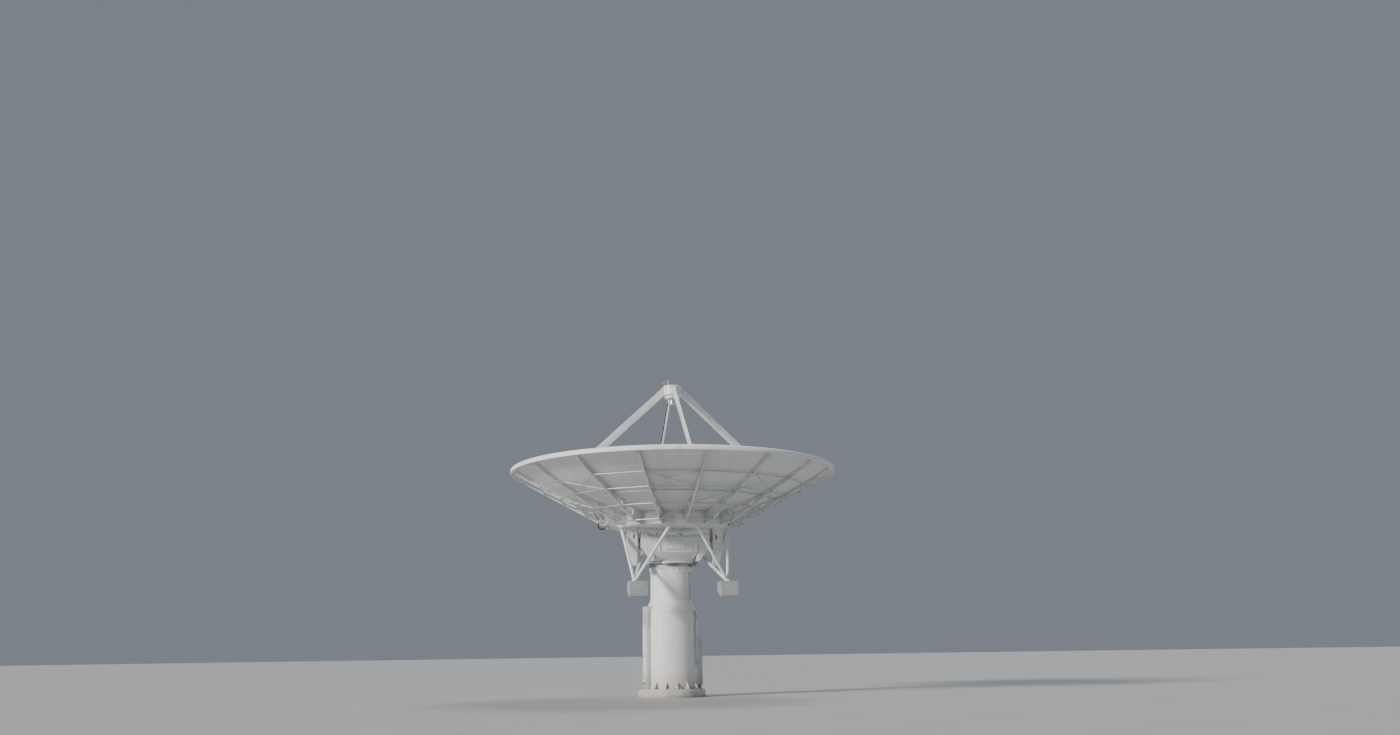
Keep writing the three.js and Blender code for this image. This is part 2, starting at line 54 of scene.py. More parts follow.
# ---------------------------------------------------------------- camera, floor and light
cam_data = bpy.data.cameras.new("camera")
cam = bpy.data.objects.new("camera", cam_data)
bpy.context.scene.collection.objects.link(cam)
cam_data.sensor_fit = "HORIZONTAL"
cam_data.sensor_width = 36.0
cam_data.lens = 36.0 * 1200.0 / 1400.0
cam_data.clip_end = 2000.0
RIGHT = Vector((0.9757726, -0.2183756, -0.0134110))
UP = Vector((-0.0379746, -0.2294118, 0.9725884))
AHEAD = Vector((0.2154662, 0.9485158, 0.2321465))
view = Matrix.Identity(4)
for row in range(3):
    view[row][0], view[row][1], view[row][2] = RIGHT[row], UP[row], -AHEAD[row]
view.translation = Vector((-8.8175765, -44.1276596, 1.5))
cam.matrix_world = view
bpy.context.scene.camera = cam


def link(obj):
    bpy.context.scene.collection.objects.link(obj)
    return obj


def sun(name, towards, strength, angle, color):
    data = bpy.data.lights.new(name, "SUN")
    data.energy = strength
    data.angle = rad(angle)
    data.color = color
    lamp = link(bpy.data.objects.new(name, data))
    lamp.rotation_euler = Vector(towards).to_track_quat("-Z", "Y").to_euler()
    return lamp


sun("key", (0.86, 0.42, -0.34), 4.4, 10, (1.0, 0.97, 0.93))
sun("fill", (-0.74, 0.60, -0.20), 0.20, 40, (0.92, 0.96, 1.0))
sun("top", (-0.30, -0.45, -0.95), 0.9, 25, (1.0, 0.99, 0.97))

world = bpy.data.worlds.new("world")
bpy.context.scene.world = world
world.use_nodes = True
world.node_tree.nodes["Background"].inputs["Color"].default_value = (0.50, 0.56, 0.64, 1)
world.node_tree.nodes["Background"].inputs["Strength"].default_value = 0.40


# ---------------------------------------------------------------- materials
class Mat:
    """A small helper to write a node tree in few lines. Coordinates are the object's own."""

    def __init__(self, name, rough=0.5, metal=0.0, coat=0.0, coat_rough=0.1, ior=1.5):
        self.mat = bpy.data.materials.new(name)
        self.mat.use_nodes = True
        self.t = self.mat.node_tree
        self.bsdf = self.t.nodes["Principled BSDF"]
        self.bsdf.inputs["Metallic"].default_value = metal
        self.bsdf.inputs["Roughness"].default_value = rough
        self.bsdf.inputs["Coat Weight"].default_value = coat
        self.bsdf.inputs["Coat Roughness"].default_value = coat_rough
        self.bsdf.inputs["IOR"].default_value = ior
        self.co = self.t.nodes.new("ShaderNodeTexCoord").outputs["Object"]
        self._xyz = None

    def put(self, socket, value):
        if hasattr(value, "is_linked") or hasattr(value, "links"):
            self.t.links.new(value, socket)
        elif isinstance(value, (tuple, list)) and len(value) == 3 and socket.type == "RGBA":
            socket.default_value = (*value, 1)
        else:
            socket.default_value = value

    def scaled(self, scale, offset=(0, 0, 0)):
        n = self.t.nodes.new("ShaderNodeMapping")
        self.put(n.inputs["Vector"], self.co)
        n.inputs["Scale"].default_value = scale
        n.inputs["Location"].default_value = offset
        return n.outputs["Vector"]

    def noise(self, scale, detail=3.0, rough=0.5, vec=None, distort=0.0):
        n = self.t.nodes.new("ShaderNodeTexNoise")
        self.put(n.inputs["Vector"], vec or self.co)
        n.inputs["Scale"].default_value = scale
        n.inputs["Detail"].default_value = detail
        n.inputs["Roughness"].default_value = rough
        n.inputs["Distortion"].default_value = distort
        return n.outputs["Fac"]

    def cells(self, scale, feature="F1", out="Distance", vec=None):
        n = self.t.nodes.new("ShaderNodeTexVoronoi")
        n.feature = feature
        self.put(n.inputs["Vector"], vec or self.co)
        n.inputs["Scale"].default_value = scale
        return n.outputs[out]

    def ramp(self, fac, low, high, a=0.0, b=1.0):
        """0 at low and 1 at high, then spread over a to b."""
        n = self.t.nodes.new("ShaderNodeMapRange")
        n.interpolation_type = "SMOOTHSTEP"
        self.put(n.inputs["Value"], fac)
        n.inputs["From Min"].default_value = low
        n.inputs["From Max"].default_value = high
        n.inputs["To Min"].default_value = a
        n.inputs["To Max"].default_value = b
        return n.outputs["Result"]

    def math(self, op, a, b=0.0):
        n = self.t.nodes.new("ShaderNodeMath")
        n.operation = op
        self.put(n.inputs[0], a)
        self.put(n.inputs[1], b)
        return n.outputs[0]

    def mix(self, fac, a, b, how="MIX"):
        n = self.t.nodes.new("ShaderNodeMix")
        n.data_type = "RGBA"
        n.blend_type = how
        self.put(n.inputs[0], fac)
        self.put(n.inputs[6], a)
        self.put(n.inputs[7], b)
        return n.outputs[2]

    def xyz(self):
        if self._xyz is None:
            n = self.t.nodes.new("ShaderNodeSeparateXYZ")
            self.put(n.inputs[0], self.co)
            self._xyz = n.outputs
        return self._xyz

    def vector(self, x, y, z):
        n = self.t.nodes.new("ShaderNodeCombineXYZ")
        for i, v in enumerate((x, y, z)):
            self.put(n.inputs[i], v)
        return n.outputs[0]

    def facing_up(self):
        n = self.t.nodes.new("ShaderNodeNewGeometry")
        s = self.t.nodes.new("ShaderNodeSeparateXYZ")
        self.put(s.inputs[0], n.outputs["Normal"])
        return s.outputs[2]

    def bump(self, *layers):
        """layers: (height, strength, distance in metres)"""
        last = None
        for height, strength, distance in layers:
            n = self.t.nodes.new("ShaderNodeBump")
            n.inputs["Strength"].default_value = strength
            n.inputs["Distance"].default_value = distance
            self.put(n.inputs["Height"], height)
            if last is not None:
                self.put(n.inputs["Normal"], last)
            last = n.outputs["Normal"]
        self.put(self.bsdf.inputs["Normal"], last)

    def color(self, value):
        self.put(self.bsdf.inputs["Base Color"], value)

    def rough(self, value):
        self.put(self.bsdf.inputs["Roughness"], value)

    def metal(self, value):
        self.put(self.bsdf.inputs["Metallic"], value)


def paint(name, color, rough=0.42, streaks=0.35, wear=0.5, tone=0.05, dust=0.0, under=(0.24, 0.23, 0.22)):
    """Sprayed paint over welded steel: tone drift, rain streaks, worn chips and orange peel."""
    m = Mat(name, rough, 0.0, coat=0.12, coat_rough=0.25)
    dark = tuple(c * (1 - tone * 2.2) for c in color)
    light = tuple(min(1.0, c * (1 + tone)) for c in color)
    base = m.mix(m.ramp(m.noise(0.85, 5, 0.55), 0.32, 0.68), dark, light)
    fine = m.noise(11.0, 6, 0.62)
    base = m.mix(m.ramp(fine, 0.35, 0.7, 0.0, 0.10), base, (0.42, 0.40, 0.37))
    run = m.noise(1.0, 6, 0.6, m.scaled((7.5, 7.5, 0.42)))
    place = m.ramp(m.noise(0.55, 2, 0.5, m.scaled((1, 1, 1), (3.1, 7.7, 1.9))), 0.40, 0.62)
    streak = m.math("MULTIPLY", m.ramp(run, 0.52, 0.74), place)
    base = m.mix(m.math("MULTIPLY", streak, streaks), base, (0.33, 0.30, 0.26))
    if dust:
        z = m.xyz()[2]
        low = m.ramp(m.math("ADD", z, m.math("MULTIPLY", m.noise(2.3, 4, 0.6), -0.9)), 0.75, -0.35)
        base = m.mix(m.math("MULTIPLY", low, dust), base, (0.40, 0.30, 0.21))
    chips = m.math("MULTIPLY", m.ramp(m.noise(26.0, 4, 0.6), 0.655, 0.685), m.ramp(m.noise(1.7, 3, 0.5), 0.52, 0.62))
    chips = m.math("MULTIPLY", chips, wear)
    base = m.mix(chips, base, under)
    m.color(base)
    m.rough(m.math("ADD", m.ramp(fine, 0.3, 0.7, rough - 0.07, rough + 0.10), m.math("MULTIPLY", streak, 0.18)))
    m.bump(
        (m.noise(1.6, 2, 0.5), 0.10, 0.02),
        (m.noise(150.0, 2, 0.5), 0.10, 0.0006),
    )
    return m.mat


def metal(name, color, rough=0.38, rust=0.0, grain=(60, 60, 60)):
    """Bare or galvanised steel with a grain and, where it is asked for, a little rust."""
    m = Mat(name, rough, 1.0)
    n = m.noise(1.0, 4, 0.6, m.scaled(grain))
    base = m.mix(m.ramp(n, 0.3, 0.7), tuple(c * 0.82 for c in color), color)
    grime = m.ramp(m.noise(6.0, 5, 0.65), 0.45, 0.72)
    base = m.mix(m.math("MULTIPLY", grime, 0.35), base, (0.20, 0.19, 0.17))
    if rust:
        spots = m.math("MULTIPLY", m.ramp(m.noise(9.0, 8, 0.7), 0.53, 0.68), rust)
        base = m.mix(spots, base, (0.26, 0.11, 0.045))
        m.metal(m.math("SUBTRACT", 1.0, spots))
        m.rough(m.math("ADD", m.ramp(n, 0.3, 0.7, rough - 0.06, rough + 0.08), m.math("MULTIPLY", spots, 0.4)))
    else:
        m.rough(m.ramp(n, 0.3, 0.7, rough - 0.07, rough + 0.10))
    m.color(base)
    m.bump((n, 0.12, 0.0008))
    return m.mat


def galvanised(name):
    m = Mat(name, 0.45, 0.85)
    cell = m.cells(38.0, out="Color")
    s = m.t.nodes.new("ShaderNodeSeparateColor")
    m.put(s.inputs[0], cell)
    base = m.mix(s.outputs[0], (0.53, 0.55, 0.56), (0.64, 0.66, 0.67))
    dull = m.ramp(m.noise(2.2, 5, 0.6), 0.38, 0.68)
    base = m.mix(m.math("MULTIPLY", dull, 0.45), base, (0.43, 0.43, 0.42))
    m.color(base)
    m.rough(m.ramp(s.outputs[1], 0.0, 1.0, 0.36, 0.58))
    m.bump((m.noise(30.0, 3, 0.5), 0.08, 0.001))
    return m.mat


def concrete(name):
    m = Mat(name, 0.9)
    broad = m.noise(1.3, 5, 0.6)
    base = m.mix(m.ramp(broad, 0.3, 0.7), (0.42, 0.40, 0.37), (0.60, 0.58, 0.54))
    base = m.mix(m.ramp(m.noise(26.0, 6, 0.7), 0.42, 0.64, 0.0, 0.32), base, (0.30, 0.285, 0.26))
    sand = m.noise(120.0, 3, 0.6)
    base = m.mix(m.ramp(sand, 0.48, 0.66, 0.0, 0.22), base, (0.72, 0.70, 0.66))
    z = m.xyz()[2]
    damp = m.ramp(m.math("ADD", z, m.math("MULTIPLY", m.noise(3.1, 4, 0.6), -0.16)), 0.05, -0.07)
    base = m.mix(m.math("MULTIPLY", damp, 0.6), base, (0.27, 0.22, 0.165))
    pore = m.ramp(m.cells(34.0), 0.16, 0.06)
    few = m.ramp(m.noise(9.0, 2, 0.5), 0.52, 0.60)
    pore_pits_and_shade = m.math("MULTIPLY", pore, few)
    # painted shade: the pore pits are coloured dark grey as if in shadow; the same mask also dents them in the bump
    base = m.mix(m.math("MULTIPLY", pore_pits_and_shade, 0.7), base, (0.16, 0.15, 0.14))
    m.color(base)
    m.rough(m.ramp(broad, 0.3, 0.7, 0.82, 0.95))
    m.bump(
        (m.noise(5.0, 5, 0.6), 0.35, 0.012),
        (pore_pits_and_shade, -0.6, 0.006),
        (sand, 0.35, 0.0025),
    )
    return m.mat


def skin(name, color, rough, radial=0.5):
    """The reflector: a matt coat over composite gores, each a shade apart, with rain marks along the radius."""
    m = Mat(name, rough, 0.0)
    xyz = m.xyz()
    x = xyz[0]
    y = m.math("ADD", xyz[1], 0.5)
    r = m.math("SQRT", m.math("ADD", m.math("MULTIPLY", x, x), m.math("MULTIPLY", y, y)))
    rr = m.math("MAXIMUM", r, 0.05)
    turn = m.math("DIVIDE", m.math("ARCTAN2", y, x), 2 * pi / 16)
    gore = m.math("FLOOR", m.math("ADD", turn, 16.0))
    ring = m.math("FLOOR", m.math("DIVIDE", r, 1.95))
    w = m.t.nodes.new("ShaderNodeTexWhiteNoise")
    w.noise_dimensions = "2D"
    m.put(w.inputs["Vector"], m.vector(gore, ring, 0.0))
    base = m.mix(m.math("MULTIPLY", w.outputs["Value"], 0.07), color, (0.42, 0.43, 0.43))
    base = m.mix(m.ramp(m.noise(0.7, 6, 0.6), 0.35, 0.7, 0.0, 0.12), base, (0.56, 0.545, 0.52))
    along = m.vector(
        m.math("MULTIPLY", m.math("DIVIDE", x, rr), 15.0),
        m.math("MULTIPLY", m.math("DIVIDE", y, rr), 15.0),
        m.math("MULTIPLY", r, 0.30),
    )
    marks = m.math(
        "MULTIPLY",
        m.ramp(m.noise(1.0, 7, 0.65, along), 0.48, 0.74),
        m.ramp(m.noise(0.5, 2, 0.5), 0.30, 0.60),
    )
    base = m.mix(m.math("MULTIPLY", marks, radial), base, (0.44, 0.415, 0.375))
    base = m.mix(m.ramp(m.noise(42.0, 5, 0.7), 0.55, 0.70, 0.0, 0.14), base, (0.40, 0.39, 0.37))
    m.color(base)
    m.rough(m.math("ADD", m.ramp(m.noise(8.0, 4, 0.6), 0.3, 0.7, rough - 0.05, rough + 0.07), m.math("MULTIPLY", marks, 0.12)))
    m.bump((m.noise(1.1, 2, 0.5), 0.05, 0.02), (m.noise(220.0, 2, 0.6), 0.12, 0.0005))
    return m.mat


def plastic(name, color, rough=0.5, scale=160.0):
    m = Mat(name, rough)
    n = m.noise(7.0, 4, 0.6)
    m.color(m.mix(m.ramp(n, 0.3, 0.7, 0.0, 0.35), color, tuple(min(1, c * 1.9 + 0.03) for c in color)))
    m.rough(m.ramp(n, 0.3, 0.7, rough - 0.08, rough + 0.12))
    m.bump((m.noise(scale, 2, 0.5), 0.2, 0.0006))
    return m.mat


def lens(name):
    m = Mat(name, 0.12, 0.0, coat=0.6, coat_rough=0.05, ior=1.5)
    n = m.noise(4.0, 3, 0.5)
    m.color(m.mix(m.ramp(n, 0.3, 0.7), (0.42, 0.015, 0.012), (0.62, 0.05, 0.03)))
    m.rough(m.ramp(n, 0.3, 0.7, 0.08, 0.2))
    m.bsdf.inputs["Transmission Weight"].default_value = 0.35
    return m.mat


def machined(name, color, scale=520.0):
    """Turned aluminium about the dish's own axis."""
    m = Mat(name, 0.3, 1.0)
    xyz = m.xyz()
    rings = m.noise(1.0, 2, 0.5, m.vector(0.0, 0.0, m.math("MULTIPLY", xyz[2], scale)))
    base = m.mix(m.ramp(m.noise(5.0, 4, 0.6), 0.35, 0.7), tuple(c * 0.85 for c in color), color)
    m.color(base)
    m.rough(m.ramp(rings, 0.3, 0.7, 0.24, 0.42))
    m.bump((rings, 0.25, 0.0006))
    return m.mat


WHITE = paint("tower_white", (0.80, 0.805, 0.79), 0.40, streaks=0.42, wear=0.55, tone=0.035, dust=0.55)
WHITE2 = paint("frame_white", (0.78, 0.785, 0.775), 0.42, streaks=0.30, wear=0.5, tone=0.04)
RIBW = paint("rib_white", (0.72, 0.73, 0.725), 0.46, streaks=0.28, wear=0.25, tone=0.05)
LEGW = paint("leg_white", (0.80, 0.805, 0.795), 0.38, streaks=0.30, wear=0.12, tone=0.03)
LIGHT = paint("cabinet_grey", (0.60, 0.615, 0.61), 0.46, streaks=0.45, wear=0.5, tone=0.04, dust=0.6)
DRIVE = paint("drive_enamel", (0.235, 0.280, 0.305), 0.36, streaks=0.22, wear=0.85, tone=0.06)
WEIGHT = paint("weight_grey", (0.365, 0.375, 0.385), 0.50, streaks=0.55, wear=0.9, tone=0.07, under=(0.22, 0.12, 0.07))
DARKP = paint("seam_grey", (0.34, 0.35, 0.35), 0.55, streaks=0.2, wear=0.3, tone=0.05)
SKIN_F = skin("skin_face", (0.82, 0.825, 0.81), 0.52, 0.42)
SKIN_B = skin("skin_back", (0.76, 0.765, 0.755), 0.58, 0.35)
SEAM = plastic("seam_filler", (0.30, 0.30, 0.29), 0.6)
STEEL = metal("machined_steel", (0.55, 0.55, 0.54), 0.34, rust=0.0, grain=(18, 18, 240))
BOLT = metal("bolt_steel", (0.58, 0.58, 0.56), 0.42, rust=0.55)
SHAFT = metal("shaft_steel", (0.66, 0.66, 0.65), 0.22, grain=(260, 30, 30))
GALV = galvanised("galvanised")
BLACK = plastic("black_plastic", (0.018, 0.018, 0.02), 0.48)
RUBBER = plastic("rubber", (0.024, 0.023, 0.022), 0.75, 90.0)
HORN = machined("horn_aluminium", (0.74, 0.74, 0.73))
FILM = plastic("horn_window", (0.55, 0.53, 0.47), 0.3)
LENS = lens("lamp_lens")
CONCRETE = concrete("concrete")


# ---------------------------------------------------------------- mesh helpers
def frame_at(p, n=(0, 0, 1), spin=0.0):
    q = Vector((0, 0, 1)).rotation_difference(Vector(n).normalized())
    return Matrix.Translation(Vector(p)) @ q.to_matrix().to_4x4() @ Matrix.Rotation(spin, 4, "Z")


def moved(vf, m):
    return [tuple(m @ Vector(p)) for p in vf[0]], vf[1]


def mirrored(vf):
    return [(-x, y, z) for x, y, z in vf[0]], [tuple(reversed(f)) for f in vf[1]]


def turned(profile, n=96, c=(0.0, 0.0)):
    """A closed [radius, height] profile turned about the vertical through c."""
    v, rings = [], []
    loop = math.dist(profile[0], profile[-1]) < 1e-9
    for r, z in profile[:-1] if loop else profile:
        if r < 1e-7:
            rings.append([len(v)])
            v.append((c[0], c[1], z))
        else:
            rings.append(range(len(v), len(v) + n))
            v.extend((c[0] + r * math.cos(2 * pi * i / n), c[1] + r * math.sin(2 * pi * i / n), z) for i in range(n))
    if loop:
        rings.append(rings[0])
    f = []
    for a, b in zip(rings, rings[1:]):
        if len(a) == 1 and len(b) == 1:
            continue
        for i in range(n):
            j = (i + 1) % n
            if len(a) == 1:
                f.append((a[0], b[j], b[i]))
            elif len(b) == 1:
                f.append((a[i], a[j], b[0]))
            else:
                f.append((a[i], a[j], b[j], b[i]))
    return v, f


def block(x0, x1, y0, y1, z0, z1):
    v = [(x, y, z) for z in (z0, z1) for y in (y0, y1) for x in (x0, x1)]
    return v, [(0, 2, 3, 1), (4, 5, 7, 6), (0, 1, 5, 4), (2, 6, 7, 3), (0, 4, 6, 2), (1, 3, 7, 5)]


def prism(outline, a0, a1, plane="xz"):
    """An outline pushed from a0 to a1 along the axis that its plane leaves out."""
    put = {
        "xz": lambda p, a: (p[0], a, p[1]),
        "yz": lambda p, a: (a, p[0], p[1]),
        "xy": lambda p, a: (p[0], p[1], a),
    }[plane]
    n = len(outline)
    v = [put(p, a0) for p in outline] + [put(p, a1) for p in outline]
    f = [tuple(range(n)), tuple(range(2 * n - 1, n - 1, -1))]
    f += [(i, i + n, (i + 1) % n + n, (i + 1) % n) for i in range(n)]
    return v, f


def sweep(points, radius, n=12, closed=False):
    """A round section carried along points. radius is one number or one for each point."""
    pts = [Vector(p) for p in points]
    m = len(pts)
    rs = radius if isinstance(radius, (list, tuple)) else [radius] * m
    tan = []
    for i in range(m):
        a = pts[(i - 1) % m] if closed or i > 0 else pts[0]
        b = pts[(i + 1) % m] if closed or i < m - 1 else pts[-1]
        tan.append((b - a).normalized())
    side = tan[0].orthogonal().normalized()
    v, f = [], []
    for i in range(m):
        if i:
            side = (tan[i - 1].rotation_difference(tan[i]) @ side)
            side = (side - tan[i] * side.dot(tan[i])).normalized()
        up = tan[i].cross(side)
        v.extend(tuple(pts[i] + (side * math.cos(2 * pi * k / n) + up * math.sin(2 * pi * k / n)) * rs[i]) for k in range(n))
    for i in range(m if closed else m - 1):
        j = (i + 1) % m
        if closed and j == 0:
            # the last ring joins the first at the nearest turn
            best = min(range(n), key=lambda s: sum((Vector(v[(m - 1) * n + k]) - Vector(v[(k + s) % n])).length for k in range(n)))
            f.extend(((m - 1) * n + k, (m - 1) * n + (k + 1) % n, (k + 1 + best) % n, (k + best) % n) for k in range(n))
        else:
            f.extend((i * n + k, i * n + (k + 1) % n, j * n + (k + 1) % n, j * n + k) for k in range(n))
    if not closed:
        f.append(tuple(reversed(range(n))))
        f.append(tuple((m - 1) * n + k for k in range(n)))
    return v, f


def rod(a, b, r, n=16):
    return sweep([a, b], r, n)


def cut_by(vf, *cutters):
    """vf with other closed shapes taken away."""
    def obj(shape, name):
        me = bpy.data.meshes.new(name)
        me.from_pydata(shape[0], [], shape[1])
        b = bmesh.new()
        b.from_mesh(me)
        bmesh.ops.recalc_face_normals(b, faces=b.faces)
        b.to_mesh(me)
        b.free()
        return link(bpy.data.objects.new(name, me))
    base = obj(vf, "cut_base")
    tools = [obj(c, "cut_tool") for c in cutters]
    for t in tools:
        mod = base.modifiers.new("cut", "BOOLEAN")
        mod.operation = "DIFFERENCE"
        mod.solver = "EXACT"
        mod.object = t
    dg = bpy.context.evaluated_depsgraph_get()
    me = bpy.data.meshes.new_from_object(base.evaluated_get(dg))
    out = [tuple(q.co) for q in me.vertices], [tuple(q.vertices) for q in me.polygons]
    for o in [base] + tools:
        bpy.data.objects.remove(o)
    return out


def circle(r, z, n=96, c=(0.0, 0.0), a0=0.0, a1=2 * pi):
    whole = abs(a1 - a0 - 2 * pi) < 1e-9
    k = n if whole else n + 1
    return [(c[0] + r * math.cos(a0 + (a1 - a0) * i / n), c[1] + r * math.sin(a0 + (a1 - a0) * i / n), z) for i in range(k)]


def bead(points, r=0.007, closed=False, n=6):
    """A weld bead: a thin run with ripples."""
    pts = [Vector(p) for p in points]
    if closed:
        pts.append(pts[0].copy())
    out = []
    for a, b in zip(pts, pts[1:]):
        k = max(1, int((b - a).length / 0.03))
        out.extend(a.lerp(b, i / k) for i in range(k))
    if not closed:
        out.append(pts[-1])
    rs = [r * (1.0 + (0.16 if i % 2 else -0.10)) for i in range(len(out))]
    return sweep(out, rs, n, closed)


def bevelled(vf, width, segments=2, angle=28.0):
    bm = bmesh.new()
    vs = [bm.verts.new(p) for p in vf[0]]
    for f in vf[1]:
        try:
            bm.faces.new([vs[i] for i in f])
        except ValueError:
            pass
    bmesh.ops.remove_doubles(bm, verts=bm.verts, dist=1e-6)
    bmesh.ops.recalc_face_normals(bm, faces=bm.faces)
    edges = [e for e in bm.edges if len(e.link_faces) == 2 and e.calc_face_angle(0) > rad(angle)]
    bmesh.ops.bevel(bm, geom=edges, offset=width, segments=segments, profile=0.5, affect="EDGES", clamp_overlap=True)
    bm.verts.index_update()
    out = [tuple(p.co) for p in bm.verts], [tuple(p.index for p in f.verts) for f in bm.faces]
    bm.free()
    return out


def from_node(name, width=0.0, segments=2, angle=28.0):
    """The shape of a CAD node as clean flat faces, with its edges eased."""
    bm = bmesh.new()
    bm.from_mesh(NODES[name].data)
    bmesh.ops.remove_doubles(bm, verts=bm.verts, dist=2e-5)
    bmesh.ops.dissolve_limit(bm, angle_limit=rad(0.6), verts=bm.verts, edges=bm.edges)
    bm.verts.index_update()
    out = [tuple(p.co) for p in bm.verts], [tuple(p.index for p in f.verts) for f in bm.faces]
    bm.free()
    return bevelled(out, width, segments, angle) if width else out


def hexa(r, h, n=6):
    return turned([(0, 0), (r, 0), (r, h * 0.82), (r * 0.86, h), (0, h)], n)


def bolt(r=0.014, h=0.012, washer=1.45, stud=0.0, stud_r=0.5):
    """A hexagon head or nut on a washer, and the end of its stud."""
    parts = []
    low = 0.0
    if washer:
        parts.append(turned([(0, 0), (r * washer, 0), (r * washer, r * 0.22), (0, r * 0.22)], 14))
        low = r * 0.22
    parts.append(moved(hexa(r, h), Matrix.Translation((0, 0, low))))
    if stud:
        parts.append(moved(turned([(0, 0), (r * stud_r, 0), (r * stud_r, stud - 0.003), (r * stud_r * 0.7, stud), (0, stud)], 10), Matrix.Translation((0, 0, low + h * 0.9))))
    return parts


class Piece:
    """Closed shapes gathered into one mesh."""

    def __init__(self):
        self.v, self.f, self.m = [], [], []
        self.mats = []

    def add(self, vf, mat=None):
        if mat is not None and mat not in self.mats:
            self.mats.append(mat)
        k = self.mats.index(mat) if mat is not None else 0
        o = len(self.v)
        self.v.extend(vf[0])
        self.f.extend(tuple(i + o for i in f) for f in vf[1])
        self.m.extend([k] * len(vf[1]))
        return self

    def bolts(self, places, mat=BOLT, **size):
        kit = bolt(**size)
        for i, (p, n) in enumerate(places):
            m = frame_at(p, n, (i * 0.37) % 1.0)
            for k in kit:
                self.add(moved(k, m), mat)
        return self

    def make(self, name, body, replaces=(), angle=22.0, flip=False):
        mesh = bpy.data.meshes.new(name)
        mesh.from_pydata(self.v, [], self.f)
        for mat in self.mats:
            mesh.materials.append(mat)
        mesh.polygons.foreach_set("material_index", self.m)
        bm = bmesh.new()
        bm.from_mesh(mesh)
        bmesh.ops.recalc_face_normals(bm, faces=bm.faces)
        bm.to_mesh(mesh)
        bm.free()
        mesh.polygons.foreach_set("use_smooth", [True] * len(mesh.polygons))
        mesh.set_sharp_from_angle(angle=rad(angle))
        mesh.update()
        obj = link(bpy.data.objects.new(name, mesh))
        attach(obj, body)
        if replaces:
            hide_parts(*replaces)
        return obj


def arc_profile(points, rounds):
    """A profile whose corners named in rounds {index: radius} are rounded."""
    out = []
    for i, p in enumerate(points):
        if i in rounds:
            a, b, c = Vector(points[i - 1]), Vector(p), Vector(points[(i + 1) % len(points)])
            u, w = (a - b).normalized(), (c - b).normalized()
            d = rounds[i]
            for t in (0.0, 0.25, 0.5, 0.75, 1.0):
                q = (b + u * d) * (1 - t) ** 2 + b * 2 * t * (1 - t) + (b + w * d) * t * t
                out.append((q[0], q[1]))
        else:
            out.append(tuple(p))
    return out


# the floor, which isn't part of the object
floor_mat = Mat("floor", 0.7)
floor_mat.color(floor_mat.mix(floor_mat.ramp(floor_mat.noise(0.35, 4, 0.6), 0.3, 0.7), (0.45, 0.455, 0.46), (0.48, 0.485, 0.49)))
floor_mesh = bpy.data.meshes.new("floor")
fv, ff = turned([(0, 0), (900, 0)], 96)
floor_mesh.from_pydata(fv, [], [tuple(reversed(f)) for f in ff])
floor_mesh.materials.append(floor_mat.mat)
floor = link(bpy.data.objects.new("floor", floor_mesh))
floor.location.z = -0.0005

# ---------------------------------------------------------------- dimensions shared with the CAD
DY = -0.5  # the dish's own axis
AY, AZ = -0.65, 5.45  # the elevation axis
VZ, F4, SHELL = 6.27, 18.24, 0.028
HUB_R, HUB_Z = 2.05, 6.0


def bowl(r):
    return VZ + r * r / F4


# ================================================================ pedestal
p = Piece()
p.add(turned(arc_profile([(0, 0), (1.22, 0), (1.22, 0.225), (1.195, 0.25), (0, 0.25)], {2: 0.008, 3: 0.008}), 144), CONCRETE)
p.add(turned([(1.0, 0.2495), (1.148, 0.2495), (1.138, 0.2502), (1.0, 0.2502), (1.0, 0.2495)], 96), CONCRETE)
p.make("plinth", "pedestal", ["foundation_plinth"])

p = Piece()
p.add(turned(arc_profile([(0.80, 0.2503), (1.13, 0.2503), (1.13, 0.292), (0.80, 0.292), (0.80, 0.2503)], {2: 0.004}), 144), WHITE)
gussets = [45, 67.5, 90, 112.5, 135, 225, 247.5, 270, 292.5, 315]
for deg in gussets:
    g = bevelled(prism([(0.958, 0.29), (1.11, 0.29), (1.11, 0.335), (0.99, 0.522), (0.958, 0.522)], -0.008, 0.008), 0.002, 1)
    turn = Matrix.Rotation(rad(deg), 4, "Z")
    p.add(moved(g, turn), WHITE)
    for s in (-1, 1):
        line = [turn @ Vector(q) for q in ((1.105, s * 0.012, 0.296), (0.968, s * 0.012, 0.296))]
        up = [turn @ Vector(q) for q in ((0.964, s * 0.012, 0.30), (0.964, s * 0.012, 0.52))]
        p.add(bead(line, 0.005), WHITE)
        p.add(bead(up, 0.005), WHITE)
p.add(bead(circle(0.966, 0.2965, 160), 0.008, True), WHITE)
spots = []
for i in range(32):
    a = 2 * pi * (i + 0.5) / 32
    off = abs((math.degrees(a) - 180 + 180) % 360 - 180)
    if 12 < off < 30:
        continue
    spots.append(((1.055 * math.cos(a), 1.055 * math.sin(a), 0.292), (0, 0, 1)))
p.bolts(spots, r=0.030, h=0.028, stud=0.040, stud_r=0.55)
p.make("flange", "pedestal", ["base_flange"])

p = Piece()
p.add(turned([(0.94, 0.2923), (0.96, 0.2923), (0.96, 3.0), (0.94, 3.0), (0.94, 0.2923)], 144), WHITE)
p.add(bead(circle(0.9605, 1.62, 160), 0.006, True), WHITE)
p.add(bead(circle(0.9605, 2.996, 160), 0.007, True), WHITE)
for deg, z0, z1 in ((118, 0.30, 1.62), (238, 1.62, 2.99)):
    c, s = math.cos(rad(deg)), math.sin(rad(deg))
    p.add(bead([(0.9605 * c, 0.9605 * s, z0), (0.9605 * c, 0.9605 * s, z1)], 0.006), WHITE)
p.make("tower_lower", "pedestal", ["lower_tower"])

